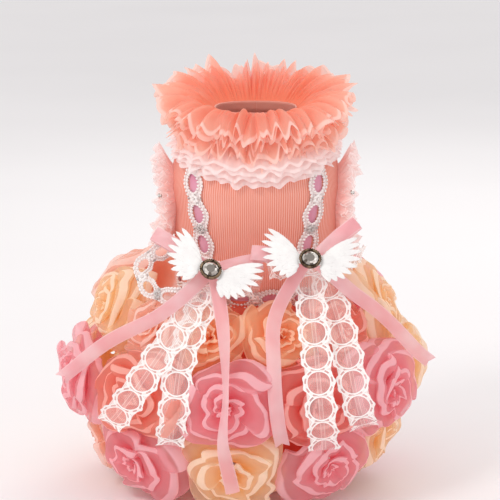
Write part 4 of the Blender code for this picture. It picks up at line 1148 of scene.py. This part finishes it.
def wings(bow):
    """Both wings of a brooch as one mesh, with a small plate behind the stone."""
    grids, groove_shades = [], []
    for side in (-1, 1):
        for feathers, root, half, lift in FEATHER_ROWS:
            for k, (direction, share) in enumerate(feathers):
                lengths = np.array((root, share, half)) * WING_SPAN
                base = (lift * 0.62 + 0.04 * (k % 2)) * WING_RELIEF
                grid, groove_shade = leaf_grid(direction, *lengths, 0.42 * WING_RELIEF, base)
                grid = grid + np.array((0.15, 0, -0.08)) * WING_SPAN
                grid[..., 0] *= side
                grids.append(grid if side > 0 else grid[:, ::-1])
                groove_shades.append(groove_shade if side > 0 else groove_shade[:, ::-1])
    t, u = np.meshgrid(np.linspace(0, pi, 17), np.linspace(0, 2 * pi, 17), indexing="ij")
    across, up = 0.36 * np.sin(t) * np.cos(u) * WING_SPAN, 0.14 * np.sin(t) * np.sin(u) * WING_SPAN
    grids.append(np.stack((across, -0.5 * WING_RELIEF * (1 + 0.8 * np.cos(t)), up), -1))
    groove_shades.append(0 * u)
    forward = depth_of("wings_" + bow, bow, 0.0)
    points = leaned(rolled(np.array(grids), bow), bow, forward)
    piece = grid_mesh("cast_wings_" + bow, points, ENAMEL, edge=np.array(groove_shades))
    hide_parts("wings_" + bow)


ENAMEL = white_cast()
for bow in BOWS:
    wings(bow)
print("wing pairs:", len(BOWS))

# %% [markdown]
# ## Settings, stones and crystals
#
# A dark bronze cup with a rope rim holds each stone. The stone keeps the model's cut, with flat facets
# and a bright clear finish, each facet painted a dark or light reflection by the way it faces. A few small
# crystals are sewn to the white frills.


# %% Settings, stones and crystals
def bronze():
    """Aged bronze, dark and worn bright in random patches."""
    made, shader, start = new_material("antique_bronze", 0.3)
    cloud = start.noise(320.0, 4.0)
    feed(shader, cloud.rise(0.35, 0.65).blend(colour(60, 46, 36), colour(150, 128, 104)), "Base Color")
    feed(shader, cloud.rise(0.2, 0.8) * 0.4 + 0.15, "Roughness")
    shader.inputs["Metallic"].default_value = 1.0
    bump(shader, cloud, 0.3, 0.0004)
    return made


def glass_with_painted_glints(name, dark, light):
    """Clear faceted glass: each facet is painted dark or light by the way it faces, as a painted reflection."""
    made, shader, start = new_material(name, 0.04, IOR=1.6, Coat_Weight=1.0, Coat_Roughness=0.02)
    # Painted reflection: the tone of each facet follows the way its normal faces.
    normal = start.node("ShaderNodeNewGeometry", out=3)
    spread = start.node("ShaderNodeVectorMath", (normal, (9.0, 5.0, 13.0)), 1, operation="DOT_PRODUCT")
    tone = spread.sine(0.5) * 0.5 + 0.5
    feed(shader, tone.blend(colour(*dark), colour(*light)), "Base Color")
    shader.inputs["Metallic"].default_value = 0.75
    return made


BRONZE = bronze()
CHAMPAGNE = glass_with_painted_glints("clear_stone", (92, 78, 66), (250, 244, 236))
STONE = (0.0056, 0.0049)
BEZEL, BEZEL_HEIGHT = 0.0014, 0.0036


ROPE_BEADS, ROPE_BEAD = 30, 0.00072


def setting(bow):
    """An oval cup turned from a profile, and a ring of beads set round its rim."""
    node = "setting_" + bow
    w, h = STONE[0] + 0.0005, STONE[1] + 0.0005
    profile = np.array((
        (0.0, 0.0, 0.0), (w + BEZEL, h + BEZEL, 0.0), (w + BEZEL, h + BEZEL, 0.6 * BEZEL_HEIGHT),
        (w + 0.6 * BEZEL, h + 0.6 * BEZEL, BEZEL_HEIGHT), (w, h, 0.98 * BEZEL_HEIGHT),
        (w, h, 0.4 * BEZEL_HEIGHT), (0.0, 0.0, 0.4 * BEZEL_HEIGHT),
    ))
    u = np.linspace(0, 2 * pi, 65)
    cup = np.stack((profile[:, :1] * np.cos(u), -profile[:, 2:] + 0 * u, profile[:, 1:2] * np.sin(u)), -1)
    ring = np.arange(ROPE_BEADS) / ROPE_BEADS * 2 * pi
    reach, rise = (w + 0.75 * BEZEL, h + 0.75 * BEZEL), -0.82 * BEZEL_HEIGHT + 0 * ring
    places = np.stack((reach[0] * np.cos(ring), rise, reach[1] * np.sin(ring)), 1)
    beads = places[:, None, None] + ball_grid(7, 10)[None] * ROPE_BEAD
    corners = np.array([tuple(v.co) for v in nodes[node].data.vertices]) + np.array((0, 0, BOWS[bow][1]))
    tipped = corners[:, 1] * cos(BOW_LEAN) - corners[:, 2] * sin(BOW_LEAN)
    sunk = corners[:, 1] * sin(BOW_LEAN) + corners[:, 2] * cos(BOW_LEAN)
    seat = np.array((0, tipped.max(), (sunk.max() + sunk.min()) / 2))
    for label, points in (("cup", cup), ("rope", beads)):
        moved = leaned(rolled(points, bow) + seat, bow, 0.0)
        piece = grid_mesh(f"setting_{label}_{bow}", moved, BRONZE)
        if label == "cup":
            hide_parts(node)


for bow in BOWS:
    setting(bow)
    stone = nodes["stone_" + bow]
    stone.data.materials.clear()
    stone.data.materials.append(CHAMPAGNE)


def crystal(name, x, z):
    """A small faceted crystal on the sleeve frill that is furthest forward at this place."""
    best, place = 1.0, None
    for sleeve in sleeves:
        corners = np.empty(len(sleeve.data.vertices) * 3)
        sleeve.data.vertices.foreach_get("co", corners)
        corners = corners.reshape(-1, 3)
        far = np.hypot(corners[:, 0] - x, corners[:, 2] - z)
        close = far < 0.006
        if close.any() and corners[close, 1].min() < best:
            k = np.flatnonzero(close)[corners[close, 1].argmin()]
            best, place = corners[k, 1], corners[k]
    if place is None:
        return
    profile = np.array(((0.0, -0.6), (0.7, -0.4), (1.0, 0.0), (0.6, 0.45), (0.0, 0.5)))
    u = np.linspace(0, 2 * pi, 9)
    gem = np.stack((profile[:, :1] * np.cos(u), -profile[:, 1:] + 0 * u, profile[:, :1] * np.sin(u)), -1)
    piece = grid_mesh(name, gem * CRYSTAL_RADIUS + place + np.array((0, -0.0006, 0)), CRYSTAL, smooth=False)


CRYSTAL_RADIUS = 0.0019
CRYSTAL = glass_with_painted_glints("crystal", (150, 140, 135), (255, 252, 248))
for k, (x, z) in enumerate(((-0.0735, -0.058), (0.0560, -0.034), (0.0700, -0.060))):
    crystal(f"crystal_{k + 1}", x, z)

# %% [markdown]
# ## Floor finish
#
# The floor is matte paper.

# %% Floor finish
paper, shader, start = new_material("paper", 0.9)
feed(shader, start.noise(3.0).rise(0.2, 0.8).blend(colour(247, 245, 246), colour(250, 248, 249)), "Base Color")
floor.data.materials.append(paper)
